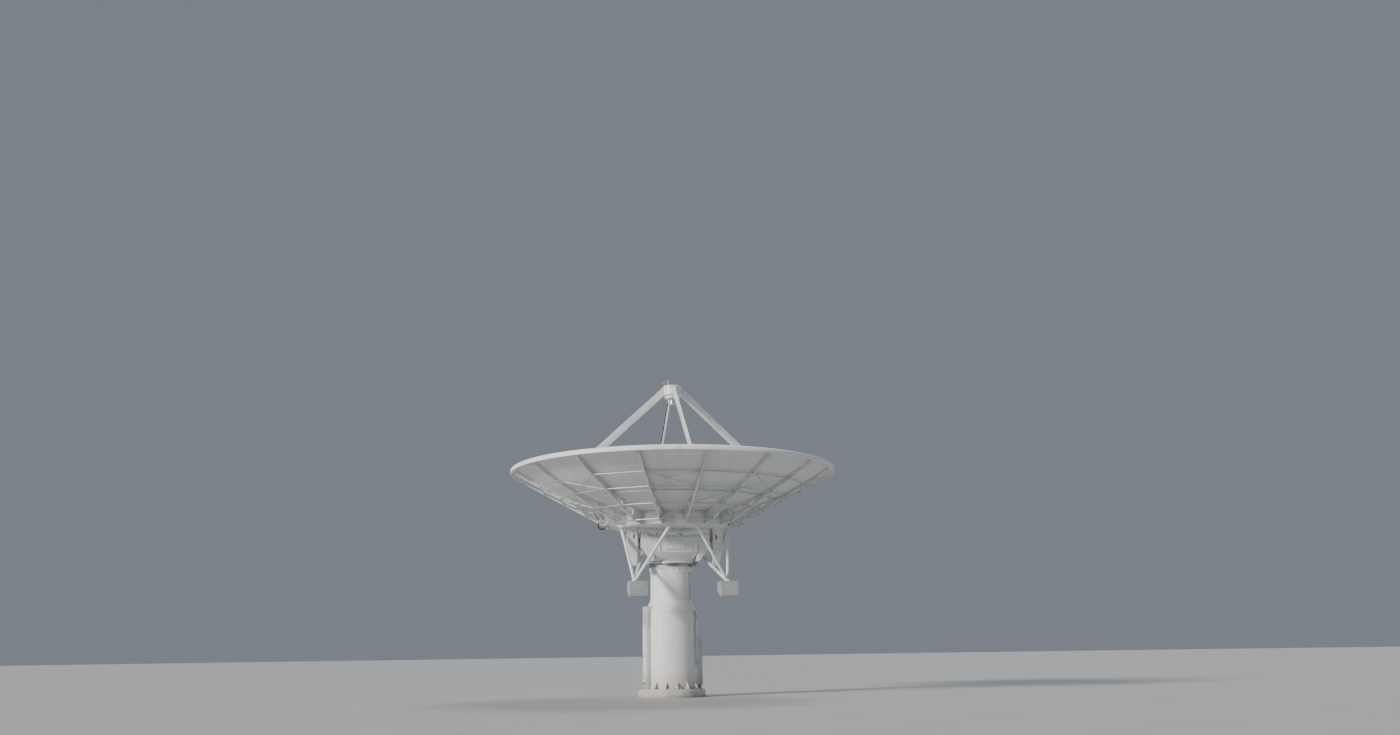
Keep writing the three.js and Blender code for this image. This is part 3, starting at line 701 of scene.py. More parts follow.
p = Piece()
p.add(turned([(0.94, 3.0003), (0.96, 3.0003), (0.765, 3.44), (0.745, 3.44), (0.94, 3.0003)], 144), WHITE)
p.add(bead([(0.9605 * math.cos(rad(80)), 0.9605 * math.sin(rad(80)), 3.0), (0.7655 * math.cos(rad(80)), 0.7655 * math.sin(rad(80)), 3.44)], 0.006), WHITE)
p.make("cone", "pedestal", ["tower_cone"])

p = Piece()
p.add(turned(arc_profile([(0.745, 3.4403), (0.765, 3.4403), (0.765, 4.57), (0.80, 4.57), (0.80, 4.60), (0.745, 4.60), (0.745, 3.4403)], {3: 0.003}), 144), WHITE)
p.add(bead(circle(0.7655, 3.444, 140), 0.007, True), WHITE)
p.add(bead(circle(0.768, 4.566, 140), 0.006, True), WHITE)
c, s = math.cos(rad(200)), math.sin(rad(200))
p.add(bead([(0.7655 * c, 0.7655 * s, 3.45), (0.7655 * c, 0.7655 * s, 4.565)], 0.006), WHITE)
for i in range(24):
    a = 2 * pi * (i + 0.5) / 24
    t = Matrix.Rotation(a, 4, "Z")
    p.add(moved(bevelled(prism([(0.763, 4.46), (0.772, 4.46), (0.797, 4.545), (0.797, 4.572), (0.763, 4.572)], -0.006, 0.006), 0.0015, 1), t), WHITE)
p.make("tower_upper", "pedestal", ["upper_tower"])

p = Piece()
p.add(turned(arc_profile([(0.64, 4.6003), (0.805, 4.6003), (0.805, 4.664), (0.78, 4.674), (0.78, 4.694), (0.64, 4.694), (0.64, 4.6003)], {1: 0.003, 2: 0.003}), 144), STEEL)
p.add(turned([(0.8045, 4.627), (0.8075, 4.629), (0.8075, 4.633), (0.8045, 4.635), (0.8045, 4.627)], 144), BLACK)
spots = [((0.806 * math.cos(2 * pi * i / 12), 0.806 * math.sin(2 * pi * i / 12), 4.648), (math.cos(2 * pi * i / 12), math.sin(2 * pi * i / 12), 0)) for i in range(12)]
p.bolts(spots, r=0.006, h=0.010, washer=0)
p.make("race_fixed", "pedestal", ["azimuth_bearing_fixed"])


def slats(x0, x1, z0, z1, y, n, depth=0.012):
    """Louvre slats in a frame, in the xz plane and standing towards -Y."""
    out = [
        bevelled(block(x0, x1, y - depth * 0.7, y, z0, z0 + 0.018), 0.002, 1),
        bevelled(block(x0, x1, y - depth * 0.7, y, z1 - 0.018, z1), 0.002, 1),
        bevelled(block(x0, x0 + 0.018, y - depth * 0.7, y, z0, z1), 0.002, 1),
        bevelled(block(x1 - 0.018, x1, y - depth * 0.7, y, z0, z1), 0.002, 1),
    ]
    step = (z1 - z0 - 0.036) / n
    for i in range(n):
        z = z0 + 0.018 + i * step
        out.append(prism([(y - depth, z), (y - depth + 0.002, z), (y, z + step * 0.8), (y - 0.003, z + step * 0.8)], x0 + 0.016, x1 - 0.016, "yz"))
    return out


# service housing on the -X side, with its door
p = Piece()
p.add(from_node("service_housing", 0.010, 2), LIGHT)
# a rain lip round its top and cover panels on its cheeks
p.add(bevelled(block(-1.004, -0.955, -0.462, 0.462, 3.178, 3.210), 0.004, 1), LIGHT)
for s in (-1, 1):
    y = s * 0.45
    for z0, z1 in ((0.42, 1.35), (1.40, 2.30)):
        b = block(-0.972, -0.87 if z0 < 3 else -0.85, min(y, y + s * 0.006), max(y, y + s * 0.006), z0, z1)
        p.add(bevelled(b, 0.002, 1), LIGHT)
        p.bolts([((xx, y + s * 0.006, zz), (0, s, 0)) for xx in (-0.96, -0.882) for zz in (z0 + 0.03, (z0 + z1) / 2, z1 - 0.03)], r=0.007, h=0.005, washer=1.3)
    for part in slats(-0.975, -0.872, 2.42, 2.98, 0, 12):
        m = Matrix.Translation((0, y, 0))
        p.add(moved(part, m) if s < 0 else moved(([(x, -yy, z) for x, yy, z in part[0]], part[1]), m), LIGHT)
# louvre above the door
for part in slats(-0.30, 0.30, 2.62, 3.05, 0, 11, 0.014):
    m = Matrix.Translation((-0.99, 0, 0)) @ Matrix.Rotation(-pi / 2, 4, "Z")
    p.add(moved(part, m), LIGHT)
p.make("housing", "pedestal", ["service_housing"])

p = Piece()
X = -0.990
p.add(bevelled(block(X - 0.012, X - 0.0003, -0.37, 0.37, 0.42, 2.47), 0.003, 1), LIGHT)
p.add(bevelled(block(X - 0.020, X - 0.010, -0.345, 0.345, 0.445, 2.445), 0.005, 2), WHITE)
for z0, z1 in ((0.53, 1.25), (1.62, 2.36)):
    ring_ = [(-0.27, z0), (0.27, z0), (0.27, z1), (-0.27, z1)]
    for a, b in zip(ring_, ring_[1:] + ring_[:1]):
        p.add(rod((X - 0.0205, a[0], a[1]), (X - 0.0205, b[0], b[1]), 0.005, 8), WHITE)
p.add(bevelled(block(X - 0.0225, X - 0.019, -0.33, 0.33, 0.455, 0.515), 0.001, 1), STEEL)
for z in (0.62, 1.45, 2.28):
    p.add(rod((X - 0.022, -0.356, z - 0.06), (X - 0.022, -0.356, z + 0.06), 0.012, 14), BOLT)
    p.add(bevelled(block(X - 0.022, X - 0.012, -0.352, -0.29, z - 0.045, z + 0.045), 0.002, 1), BOLT)
    p.bolts([((X - 0.022, -0.31, z + d), (-1, 0, 0)) for d in (-0.028, 0.028)], r=0.006, h=0.004, washer=0)
p.add(bevelled(block(X - 0.026, X - 0.018, 0.262, 0.308, 1.31, 1.53), 0.003, 1), BOLT)
p.add(sweep([(X - 0.022, 0.285, 1.345), (X - 0.043, 0.285, 1.352), (X - 0.046, 0.285, 1.37), (X - 0.046, 0.285, 1.47), (X - 0.043, 0.285, 1.488), (X - 0.022, 0.285, 1.495)], 0.0075, 12), BLACK)
p.add(moved(turned([(0, 0), (0.014, 0), (0.014, 0.010), (0.010, 0.012), (0, 0.012)], 20), frame_at((X - 0.024, 0.285, 1.262), (-1, 0, 0))), BOLT)
for part in slats(-0.20, 0.20, 0.60, 0.86, 0, 8, 0.010):
    p.add(moved(part, Matrix.Translation((X - 0.019, 0, 0)) @ Matrix.Rotation(-pi / 2, 4, "Z")), LIGHT)
p.make("door", "pedestal", ["access_door"])

# junction cabinet on the +X side
p = Piece()
p.add(from_node("junction_cabinet", 0.008, 2), LIGHT)
X = 1.075
for s in (-1, 1):
    y0, y1 = (0.006, 0.285) if s > 0 else (-0.285, -0.006)
    p.add(bevelled(block(X - 0.002, X + 0.009, y0, y1, 0.45, 1.96), 0.004, 2), LIGHT)
    for z in (0.62, 1.20, 1.80):
        p.add(rod((X + 0.008, s * 0.290, z - 0.035), (X + 0.008, s * 0.290, z + 0.035), 0.008, 12), BOLT)
    for z in (0.80, 1.60):
        p.add(moved(turned([(0, 0), (0.018, 0), (0.018, 0.006), (0.012, 0.012), (0, 0.012)], 20), frame_at((X + 0.009, s * 0.045, z), (1, 0, 0))), BLACK)
        p.add(bevelled(block(X + 0.014, X + 0.022, s * 0.045 - 0.005, s * 0.045 + 0.005, z - 0.022, z + 0.022), 0.002, 1), BLACK)
    for part in slats(-0.09, 0.09, 0.52, 0.70, 0, 6, 0.008):
        m = Matrix.Translation((X + 0.009, s * 0.15, 0)) @ Matrix.Rotation(pi / 2, 4, "Z")
        p.add(moved(part, m), LIGHT)
for y in (-0.21, -0.07, 0.07, 0.21):
    p.add(rod((1.035, y, 0.2925), (1.035, y, 0.415), 0.022, 18), GALV)
    p.add(turned([(0, 0.292), (0.034, 0.292), (0.034, 0.304), (0.024, 0.312), (0, 0.312)], 18, (1.035, y)), RUBBER)
    p.add(moved(hexa(0.033, 0.022), Matrix.Translation((1.035, y, 0.388))), BOLT)
p.make("cabinet", "pedestal", ["junction_cabinet"])

# conduits from the cabinet up the front of the tower, on standoff clips
p = Piece()


def round_tower(a_deg, z, out):
    """A point `out` off the tower's wall."""
    r = 0.96 if z <= 3.0 else (0.765 if z >= 3.44 else 0.96 - (z - 3.0) / 0.44 * 0.195)
    return (math.cos(rad(a_deg)) * (r + out), math.sin(rad(a_deg)) * (r + out), z)


for k, (deg, z_in) in enumerate(((-38.0, 1.15), (-42.5, 1.00))):
    path = [(0.90, -0.285, z_in), (0.90, -0.345, z_in)]
    start = [round_tower(deg + 14 - 3.5 * i, z_in + 0.012 * i * i, 0.034) for i in range(5)]
    path += [(0.885, -0.43, z_in + 0.01)] + [q for q in start if q[1] < -0.46]
    path += [round_tower(deg, z_in + 0.32, 0.034)]
    path += [round_tower(deg, z, 0.034) for z in (1.8, 2.4, 2.94)]
    path += [round_tower(deg, z, 0.036) for z in (3.04, 3.22, 3.40)]
    path += [round_tower(deg, z, 0.034) for z in (3.52, 3.9, 4.22, 4.32)]
    path += [round_tower(deg, 4.375, 0.026), round_tower(deg, 4.395, 0.006), round_tower(deg, 4.40, -0.01)]
    p.add(sweep(path, 0.015, 12), GALV)
    p.add(moved(hexa(0.024, 0.02), frame_at((0.90, -0.300, z_in), (0, -1, 0))), BOLT)
    p.add(moved(hexa(0.024, 0.02), frame_at(round_tower(deg, 4.40, 0.0), (math.cos(rad(deg)), math.sin(rad(deg)), 0))), BOLT)
for z in (1.75, 2.35, 2.90, 3.55, 3.95, 4.28):
    c0, c1 = round_tower(-35.5, z, 0.0), round_tower(-45.0, z, 0.0)
    mid = Vector(round_tower(-40.25, z, 0.0))
    n = Vector((math.cos(rad(-40.25)), math.sin(rad(-40.25)), 0))
    m = Matrix.Translation(mid) @ Matrix.Rotation(rad(-40.25), 4, "Z")
    wide = 0.085 if z < 3 else 0.072
    p.add(moved(bevelled(block(-0.004, 0.020, -wide, wide, -0.016, 0.016), 0.002, 1), m), GALV)
    for s in (-1, 1):
        p.add(moved(bevelled(block(0.048, 0.053, s * wide * 0.46 - 0.024, s * wide * 0.46 + 0.024, -0.013, 0.013), 0.002, 1), m), GALV)
        for q in (-0.021, 0.021):
            p.add(moved(block(0.018, 0.050, s * wide * 0.46 + q - 0.003, s * wide * 0.46 + q + 0.003, -0.011, 0.011), m), GALV)
p.make("tower_conduits", "pedestal", ())

# an earth strap at the back and two lifting lugs on the tower's shoulder
p = Piece()
for deg in (28, -28, 152, 208):
    t = Matrix.Rotation(rad(deg), 4, "Z")
    lug = [(0.955, 2.74), (1.04, 2.80), (1.055, 2.84), (1.04, 2.88), (0.955, 2.94)]
    if abs(deg) < 90:
        p.add(moved(bevelled(prism(lug, -0.011, 0.011), 0.004, 1), t), WHITE)
        p.add(moved(moved(turned([(0.016, -0.013), (0.026, -0.013), (0.026, 0.013), (0.016, 0.013), (0.016, -0.013)], 20), Matrix.Translation((1.018, 0, 2.84)) @ Matrix.Rotation(pi / 2, 4, "X")), t), WHITE)
c = Vector((math.cos(rad(75)), math.sin(rad(75)), 0))
p.add(sweep([tuple(c * 0.968 + Vector((0, 0, 0.62))), tuple(c * 0.990 + Vector((0, 0, 0.59))), tuple(c * 1.03 + Vector((0, 0, 0.45))), tuple(c * 1.10 + Vector((0, 0, 0.33))), tuple(c * 1.165 + Vector((0, 0, 0.272))), tuple(c * 1.18 + Vector((0, 0, 0.255)))], 0.006, 10), GALV)
p.bolts([(tuple(c * 0.96 + Vector((0, 0, 0.62))), tuple(c))], r=0.018, h=0.014)
p.bolts([(tuple(c * 1.18 + Vector((0, 0, 0.25))), (0, 0, 1))], r=0.018, h=0.014)
p.make("tower_fittings", "pedestal", ())

# ================================================================ turning head
p = Piece()
p.add(turned(arc_profile([(0.64, 4.70), (0.85, 4.70), (0.85, 4.75), (0.64, 4.75), (0.64, 4.70)], {1: 0.004, 2: 0.004}), 144), STEEL)
p.add(turned([(0.8485, 4.720), (0.8520, 4.7215), (0.8520, 4.7285), (0.8485, 4.730), (0.8485, 4.720)], 144), BLACK)
p.make("race_moving", "turnhead", ["azimuth_bearing_moving"])

p = Piece()
p.add(turned(arc_profile([(0.25, 4.7503), (0.87, 4.7503), (0.87, 4.80), (0.25, 4.80), (0.25, 4.7503)], {1: 0.003, 2: 0.005}), 144), WHITE2)
spots = []
for i in range(44):
    a = 2 * pi * (i + 0.5) / 44
    x, y = 0.825 * math.cos(a), 0.825 * math.sin(a)
    if -0.50 < y < 0.24 or (abs(x) > 0.3 and y < 0 and abs(x) > 0.8 + (y + 0.32) * 0.75 - 0.05):
        continue
    spots.append(((x, y, 4.80), (0, 0, 1)))
p.bolts(spots, r=0.018, h=0.018)
p.make("turntable", "turnhead", ["turntable_plate"])

p = Piece()
p.add(from_node("yoke_body", 0.010, 2, 12.0), WHITE2)
# front cover with its bolts
p.add(bevelled(block(-0.36, 0.36, -0.990, -0.968, 5.20, 5.56), 0.004, 1), WHITE2)
p.bolts([((x, -0.990, z), (0, -1, 0)) for x in (-0.33, -0.165, 0.0, 0.165, 0.33) for z in (5.23, 5.53)] + [((x, -0.990, 5.38), (0, -1, 0)) for x in (-0.33, 0.33)], r=0.013, h=0.012)
for x in (-0.60, 0.60):
    p.add(bevelled(prism([(-0.976, 5.13), (-0.996, 5.16), (-0.996, 5.60), (-0.976, 5.63)], x - 0.008, x + 0.008, "yz"), 0.002, 1), WHITE2)
# cable outlet cover on top, left of the middle
p.add(bevelled(block(-0.672, -0.425, -0.80, -0.50, 5.6845, 5.826), 0.006, 2), WHITE2)
p.add(bevelled(block(-0.680, -0.417, -0.808, -0.492, 5.826, 5.838), 0.003, 1), WHITE2)
p.bolts([((x, y, 5.838), (0, 0, 1)) for x in (-0.664, -0.433) for y in (-0.792, -0.65, -0.508)], r=0.007, h=0.006)
p.make("yoke", "turnhead", ["yoke_body"])

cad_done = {"yoke_body"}
for s, side in ((1, "right"), (-1, "left")):
    p = Piece()
    arm = [(0.8003, 4.81), (0.885, 4.81), (0.98, 4.905), (1.055, 5.017), (1.215, 5.254), (1.27, 5.342), (1.27, 5.80), (1.035, 5.80), (1.0, 5.685), (0.8003, 5.685)]
    body = bevelled(prism(arm, -0.90, -0.46), 0.008, 2)
    parts = [(body, WHITE2)]
    # the bearing housing, turned about the elevation axis
    house = turned(arc_profile([(0.126, 1.01), (0.25, 1.01), (0.25, 1.28), (0.126, 1.28), (0.126, 1.01)], {2: 0.008}), 96)
    lie = Matrix(((0, 0, 1, 0), (0, 1, 0, AY), (-1, 0, 0, AZ), (0, 0, 0, 1)))
    parts.append((moved(house, lie), WHITE2))
    parts.append((moved(turned(arc_profile([(0.127, 1.279), (0.212, 1.279), (0.212, 1.300), (0.150, 1.304), (0.127, 1.304), (0.127, 1.279)], {2: 0.003}), 96), lie), STEEL))
    parts.append((moved(turned([(0.121, 1.300), (0.148, 1.300), (0.146, 1.312), (0.1215, 1.312), (0.121, 1.300)], 64), lie), RUBBER))
    for vf, mat in parts:
        p.add(vf if s > 0 else mirrored(vf), mat)
    spots = []
    for i in range(12):
        a = 2 * pi * (i + 0.5) / 12
        spots.append(((s * 1.300, AY + 0.185 * math.cos(a), AZ + 0.185 * math.sin(a)), (s, 0, 0)))
    p.bolts(spots, r=0.013, h=0.012)
    # stiffeners on the arm's front and back, and a grease nipple
    for y0, y1 in ((-0.912, -0.898), (-0.462, -0.448)):
        web = bevelled(prism([(0.86, 4.90), (0.93, 4.93), (1.16, 5.30), (1.16, 5.60), (0.86, 5.60)], y0, y1), 0.003, 1)
        p.add(web if s > 0 else mirrored(web), WHITE2)
    # cap over the bearing's saddle, and a lifting lug beside the yoke
    cap = bevelled(block(1.045, 1.262, -0.87, -0.49, 5.7995, 5.864), 0.010, 2)
    p.add(cap if s > 0 else mirrored(cap), WHITE2)
    p.bolts([((s * x, y, 5.864), (0, 0, 1)) for x in (1.075, 1.232) for y in (-0.84, -0.52)], r=0.011, h=0.010)
    p.add(rod((s * 1.15, AY, 5.863), (s * 1.15, AY, 5.885), 0.007, 10), BOLT)
    lug = cut_by(prism([(0.806, 5.684), (0.894, 5.684), (0.894, 5.745), (0.878, 5.778), (0.85, 5.790), (0.822, 5.778), (0.806, 5.745)], -0.665, -0.635), rod((0.85, -0.70, 5.748), (0.85, -0.60, 5.748), 0.017, 16))
    p.add(lug if s > 0 else mirrored(lug), WHITE2)
    seam_ = [(s * 0.806, -0.906, 4.86), (s * 0.806, -0.906, 5.66)]
    p.make("arm_" + side, "turnhead", ["yoke_arm_" + side])


def motor(length, r_body, r_end):
    """A finned motor along +Z from 0, with a fan cowl at its end."""
    out = []
    n = 28
    out.append((turned([(0, 0), (r_body * 0.86, 0), (r_body * 0.86, length * 0.74), (0, length * 0.74)], 40), DRIVE))
    fin = block(r_body * 0.84, r_body * 0.99, -0.0022, 0.0022, length * 0.06, length * 0.70)
    for i in range(n):
        out.append((moved(fin, Matrix.Rotation(2 * pi * i / n, 4, "Z")), DRIVE))
    out.append((turned(arc_profile([(0, 0), (r_body, 0), (r_body, length * 0.07), (0, length * 0.07)], {2: 0.003}), 40), DRIVE))
    cowl = arc_profile([(0, length * 0.72), (r_body, length * 0.72), (r_body, length * 0.95), (r_end, length), (0, length)], {2: 0.006, 3: 0.004})
    out.append((turned(cowl, 40), DRIVE))
    for k in range(1, 4):
        r = r_end * 0.9 * k / 3.3
        out.append((turned([(r, length - 0.001), (r + 0.004, length - 0.001), (r + 0.004, length + 0.0025), (r, length + 0.0025), (r, length - 0.001)], 32), BLACK))
    for k in range(4):
        out.append((moved(block(0.0, r_end * 0.92, -0.002, 0.002, length - 0.001, length + 0.002), Matrix.Rotation(k * pi / 2, 4, "Z")), BLACK))
    return out


for s, side in ((1, "right"), (-1, "left")):
    # upright azimuth drive: flange, gear case, motor
    p = Piece()
    cx, cy, z = s * 0.49, 0.505, 4.8003
    p.add(turned(arc_profile([(0, z), (0.135, z), (0.135, z + 0.022), (0.118, z + 0.022), (0.118, z + 0.03), (0, z + 0.03)], {2: 0.003}), 64, (cx, cy)), DRIVE)
    p.bolts([((cx + 0.126 * math.cos(2 * pi * i / 10), cy + 0.126 * math.sin(2 * pi * i / 10), z + 0.022), (0, 0, 1)) for i in range(10)], r=0.007, h=0.008, washer=1.25)
    p.add(turned(arc_profile([(0, z + 0.02), (0.112, z + 0.02), (0.112, z + 0.10), (0.120, z + 0.10), (0.120, z + 0.122), (0.112, z + 0.122), (0.112, z + 0.185), (0.130, z + 0.185), (0.130, z + 0.21), (0, z + 0.21)], {3: 0.002, 4: 0.002, 7: 0.003, 8: 0.003}), 64, (cx, cy)), DRIVE)
    for i in range(8):
        t = Matrix.Translation((cx, cy, 0)) @ Matrix.Rotation(2 * pi * i / 8 + 0.2, 4, "Z")
        p.add(moved(bevelled(prism([(0.108, z + 0.03), (0.128, z + 0.03), (0.118, z + 0.10), (0.108, z + 0.10)], -0.005, 0.005), 0.0015, 1), t), DRIVE)
    p.bolts([((cx + 0.121 * math.cos(2 * pi * (i + 0.5) / 8), cy + 0.121 * math.sin(2 * pi * (i + 0.5) / 8), z + 0.21), (0, 0, 1)) for i in range(8)], r=0.006, h=0.007, washer=0)
    for vf, mat in motor(0.28, 0.100, 0.070):
        p.add(moved(vf, Matrix.Translation((cx, cy, z + 0.2097))), mat)
    # terminal box towards the outside, with its gland
    p.add(moved(bevelled(block(0.085, 0.128, -0.045, 0.045, 0.07, 0.16), 0.005, 2), Matrix.Translation((cx, cy, z + 0.21)) @ Matrix.Rotation(rad(90), 4, "Z")), DRIVE)
    p.add(moved(hexa(0.012, 0.014), frame_at((cx, cy + 0.108, z + 0.28), (0, 0, -1))), BLACK)
    p.add(sweep([(cx, cy + 0.108, z + 0.275), (cx, cy + 0.108, z + 0.252), (cx, cy + 0.112, z + 0.240), (cx, cy + 0.142, z + 0.222), (cx, cy + 0.147, z + 0.208), (cx, cy + 0.147, z + 0.0)], 0.0075, 12), GALV)
    p.add(moved(turned([(0, 0), (0.016, 0), (0.016, 0.008), (0.011, 0.013), (0, 0.013)], 18), Matrix.Translation((cx, cy + 0.147, z))), BOLT)
    p.make("az_drive_" + side, "turnhead", ["azimuth_drive_" + side])
    # level elevation drive on the back wall
    p = Piece()
    back = Matrix.Translation((s * 0.60, 0.175, 5.49)) @ Matrix.Rotation(-pi / 2, 4, "X")
    p.add(moved(turned(arc_profile([(0, 0.0), (0.13, 0.0), (0.13, 0.024), (0.112, 0.026), (0.112, 0.118), (0, 0.118)], {2: 0.003, 4: 0.004}), 64), back), DRIVE)
    p.bolts([(tuple(back @ Vector((0.121 * math.cos(2 * pi * i / 10), 0.121 * math.sin(2 * pi * i / 10), 0.024))), (0, 1, 0)) for i in range(10)], r=0.006, h=0.007, washer=0)
    for i in range(8):
        p.add(moved(bevelled(prism([(0.108, 0.02), (0.126, 0.02), (0.118, 0.116), (0.108, 0.116)], -0.004, 0.004), 0.0012, 1), back @ Matrix.Rotation(2 * pi * i / 8 + 0.2, 4, "Z")), DRIVE)
    for vf, mat in motor(0.227, 0.095, 0.065):
        p.add(moved(vf, back @ Matrix.Translation((0, 0, 0.1175))), mat)
    p.add(moved(bevelled(block(0.080, 0.118, -0.040, 0.040, 0.165, 0.245), 0.005, 2), back @ Matrix.Rotation(pi / 2 , 4, "Z")), DRIVE)
    p.make("el_drive_" + side, "turnhead", ["elevation_drive_" + side])

p = Piece()
p.add(from_node("azimuth_sensor_box", 0.005, 2), DRIVE)
t = Matrix.Rotation(rad(-22), 4, "Z")
p.add(moved(bevelled(block(0.979, 0.984, -0.082, 0.082, 4.738, 4.792), 0.002, 1), t), DRIVE)
p.bolts([(tuple(t @ Vector((0.984, y, z))), tuple(t @ Vector((1, 0, 0)))) for y in (-0.072, 0.072) for z in (4.746, 4.784)], r=0.005, h=0.004, washer=0)
p.add(moved(hexa(0.012, 0.014), Matrix.Translation(t @ Vector((0.93, 0.05, 4.80)))), BLACK)
p.add(sweep([tuple(t @ Vector(q)) for q in ((0.93, 0.05, 4.805), (0.93, 0.05, 4.822), (0.923, 0.05, 4.833), (0.912, 0.05, 4.837), (0.862, 0.05, 4.837), (0.851, 0.05, 4.833), (0.845, 0.05, 4.822), (0.845, 0.05, 4.7995))], 0.006, 12), GALV)
p.make("sensor_box", "turnhead", ["azimuth_sensor_box"])

# ================================================================ dish
# the skin: gores between 16 seams, with two ring seams, all cut as shallow grooves
RING_SEAMS = (1.95, 3.90)


def groove_shell():
    rs = [0.0, 0.12, 0.3, 0.55, 0.8, 1.1, 1.4, 1.7]
    r = 1.95
    while r < 5.8 - 1e-6:
        rs.append(r)
        r += 0.175
    rs.append(5.8)
    rings = []
    for r in rs:
        if any(abs(r - q) < 1e-6 for q in RING_SEAMS):
            for d, deep in ((-0.008, 0.0), (-0.004, 0.004), (0.004, 0.004), (0.008, 0.0)):
                rings.append((r + d, deep))
        else:
            rings.append((r, 0.0))
    v, f, seam_faces = [], [], set()
    inner = 9
    cols = 16 * (inner + 4)

    def ring(r, deep, low):
        out = []
        for g in range(16):
            a = 2 * pi * g / 16
            offs = []
            for d, more in ((-0.008, 0.0), (-0.004, 0.004), (0.004, 0.004), (0.008, 0.0)):
                offs.append((a + (d / r if r > 1.94 else d * 0.5), more if r > 1.96 else 0.0))
            for k in range(1, inner + 1):
                offs.append((a + (2 * pi / 16) * k / (inner + 1), 0.0))
            for ang, more in offs:
                z = bowl(r) - (SHELL if low else max(deep, more))
                out.append(len(v))
                v.append((r * math.cos(ang), DY + r * math.sin(ang), z))
        return out

    for low in (False, True):
        loops = []
        for r, deep in rings:
            if low and deep:
                continue
            if r == 0.0:
                loops.append([len(v)])
                v.append((0, DY, bowl(0) - (SHELL if low else 0)))
            else:
                loops.append(ring(r, deep, low))
        for i, (a, b) in enumerate(zip(loops, loops[1:])):
            for k in range(cols):
                j = (k + 1) % cols
                if len(a) == 1:
                    f.append((a[0], b[k], b[j]) if not low else (a[0], b[j], b[k]))
                else:
                    q = (a[k], b[k], b[j], a[j])
                    if not low:
                        zs = k % (inner + 4)
                        if (zs == 1 and rings[i][0] > 1.94) or (rings[i][1] and rings[min(i + 1, len(rings) - 1)][1]):
                            seam_faces.add(len(f))
                    f.append(q if not low else tuple(reversed(q)))
        if low:
            outer_low = loops[-1]
        else:
            outer_top = loops[-1]
    for k in range(cols):
        j = (k + 1) % cols
        f.append((outer_top[k], outer_low[k], outer_low[j], outer_top[j]))
    return v, f, seam_faces, cols


v, f, seam_faces, cols = groove_shell()
mesh = bpy.data.meshes.new("reflector")
mesh.from_pydata(v, [], f)
for mat in (SKIN_F, SEAM, SKIN_B):
    mesh.materials.append(mat)
half = len(v)
for i, poly in enumerate(mesh.polygons):
    if i in seam_faces:
        poly.material_index = 1
mesh.update()
for poly in mesh.polygons:
    if poly.normal.z < 0:
        poly.material_index = 2
mesh.polygons.foreach_set("use_smooth", [True] * len(mesh.polygons))
mesh.set_sharp_from_angle(angle=rad(20))
reflector = link(bpy.data.objects.new("reflector", mesh))
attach(reflector, "dish")
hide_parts("reflector_shell")

# the rolled edge, with a joint strip inside it
p = Piece()
lip = [(5.8006, bowl(5.8) - SHELL)]
for t in range(1, 8):
    a = t / 7
    lip.append((5.8006 + 0.125 * a, bowl(5.8) - SHELL + 0.030 * math.sin(a * pi / 2)))
for t in range(1, 9):
    a = rad(90 - 90 * t / 8)
    lip.append((5.925 + 0.043 * math.cos(a), 8.073 + 0.043 * math.sin(a)))
lip += [(5.968, 8.03), (5.966, 7.985), (5.970, 7.979), (5.980, 7.977), (5.990, 7.981), (5.996, 8.00), (6.0, 8.03), (5.9985, 8.06)]
for t in range(1, 11):
    a = rad(8 + 82 * t / 10)
    lip.append((5.922 + 0.0765 * math.cos(a), 8.0745 + 0.0785 * math.sin(a)))
lip += [(5.895, 8.1542), (5.865, 8.1535), (5.835, 8.142), (5.812, 8.126), (5.8006, bowl(5.8)), lip[0]]
p.add(turned(lip, 240, (0, DY)), SKIN_F)
p.make("rim", "dish", ["rim_edge"], angle=40)

# fasteners along the seams
p = Piece()
disc = turned([(0, 0), (0.011, 0), (0.009, 0.0025), (0, 0.003)], 8)
for g in range(16):
    a = 2 * pi * g / 16
    for k in range(26):
        r = 2.05 + k * 0.145
        if g % 4 == 0 and 4.10 < r < 4.85:
            continue
        for s in (-1, 1):
            ang = a + s * 0.032 / r
            slope = 2 * r / F4
            n = Vector((-slope * math.cos(ang), -slope * math.sin(ang), 1)).normalized()
            p.add(moved(disc, frame_at((r * math.cos(ang), DY + r * math.sin(ang), bowl(r) - 0.0004), n)), BOLT)
for i in range(64):
    a = 2 * pi * (i + 0.5) / 64
    for r in (1.91, 1.99):
        slope = 2 * r / F4
        n = Vector((-slope * math.cos(a), -slope * math.sin(a), 1)).normalized()
        p.add(moved(disc, frame_at((r * math.cos(a), DY + r * math.sin(a), bowl(r) - 0.0004), n)), BOLT)
p.make("skin_fasteners", "dish", ())

# hub pan
p = Piece()
hub = arc_profile([(0, HUB_Z), (HUB_R, HUB_Z), (HUB_R, 6.4635), (2.038, 6.4600), (2.038, 6.012), (0, 6.012)], {1: 0.012})
p.add(turned(hub, 192, (0, DY)), WHITE2)
for z, w in ((6.075, 0.010), (6.395, 0.010)):
    p.add(turned([(HUB_R - 0.002, z - 0.008), (HUB_R + w, z - 0.008), (HUB_R + w, z + 0.008), (HUB_R - 0.002, z + 0.008), (HUB_R - 0.002, z - 0.008)], 192, (0, DY)), WHITE2)
p.make("hub", "dish", ["hub_drum"])

# under the hub: joint bolts, all shallow
p = Piece()
for i in range(16):
    a = 2 * pi * (i + 0.5) / 16
    t = Matrix.Translation((0, DY, 0)) @ Matrix.Rotation(a, 4, "Z")
    p.bolts([(tuple(t @ Vector((1.99, y, HUB_Z))), (0, 0, -1)) for y in (-0.16, 0.0, 0.16)], r=0.014, h=0.011)
p.make("hub_bolts", "dish", ())

# ---- ribs
KNEE = (2.5, 6.092)
SLOPE = 0.5458
STEPS = [0.8, 1.6, 2.4, 3.2, 4.0, 4.7, 5.3, 5.8]


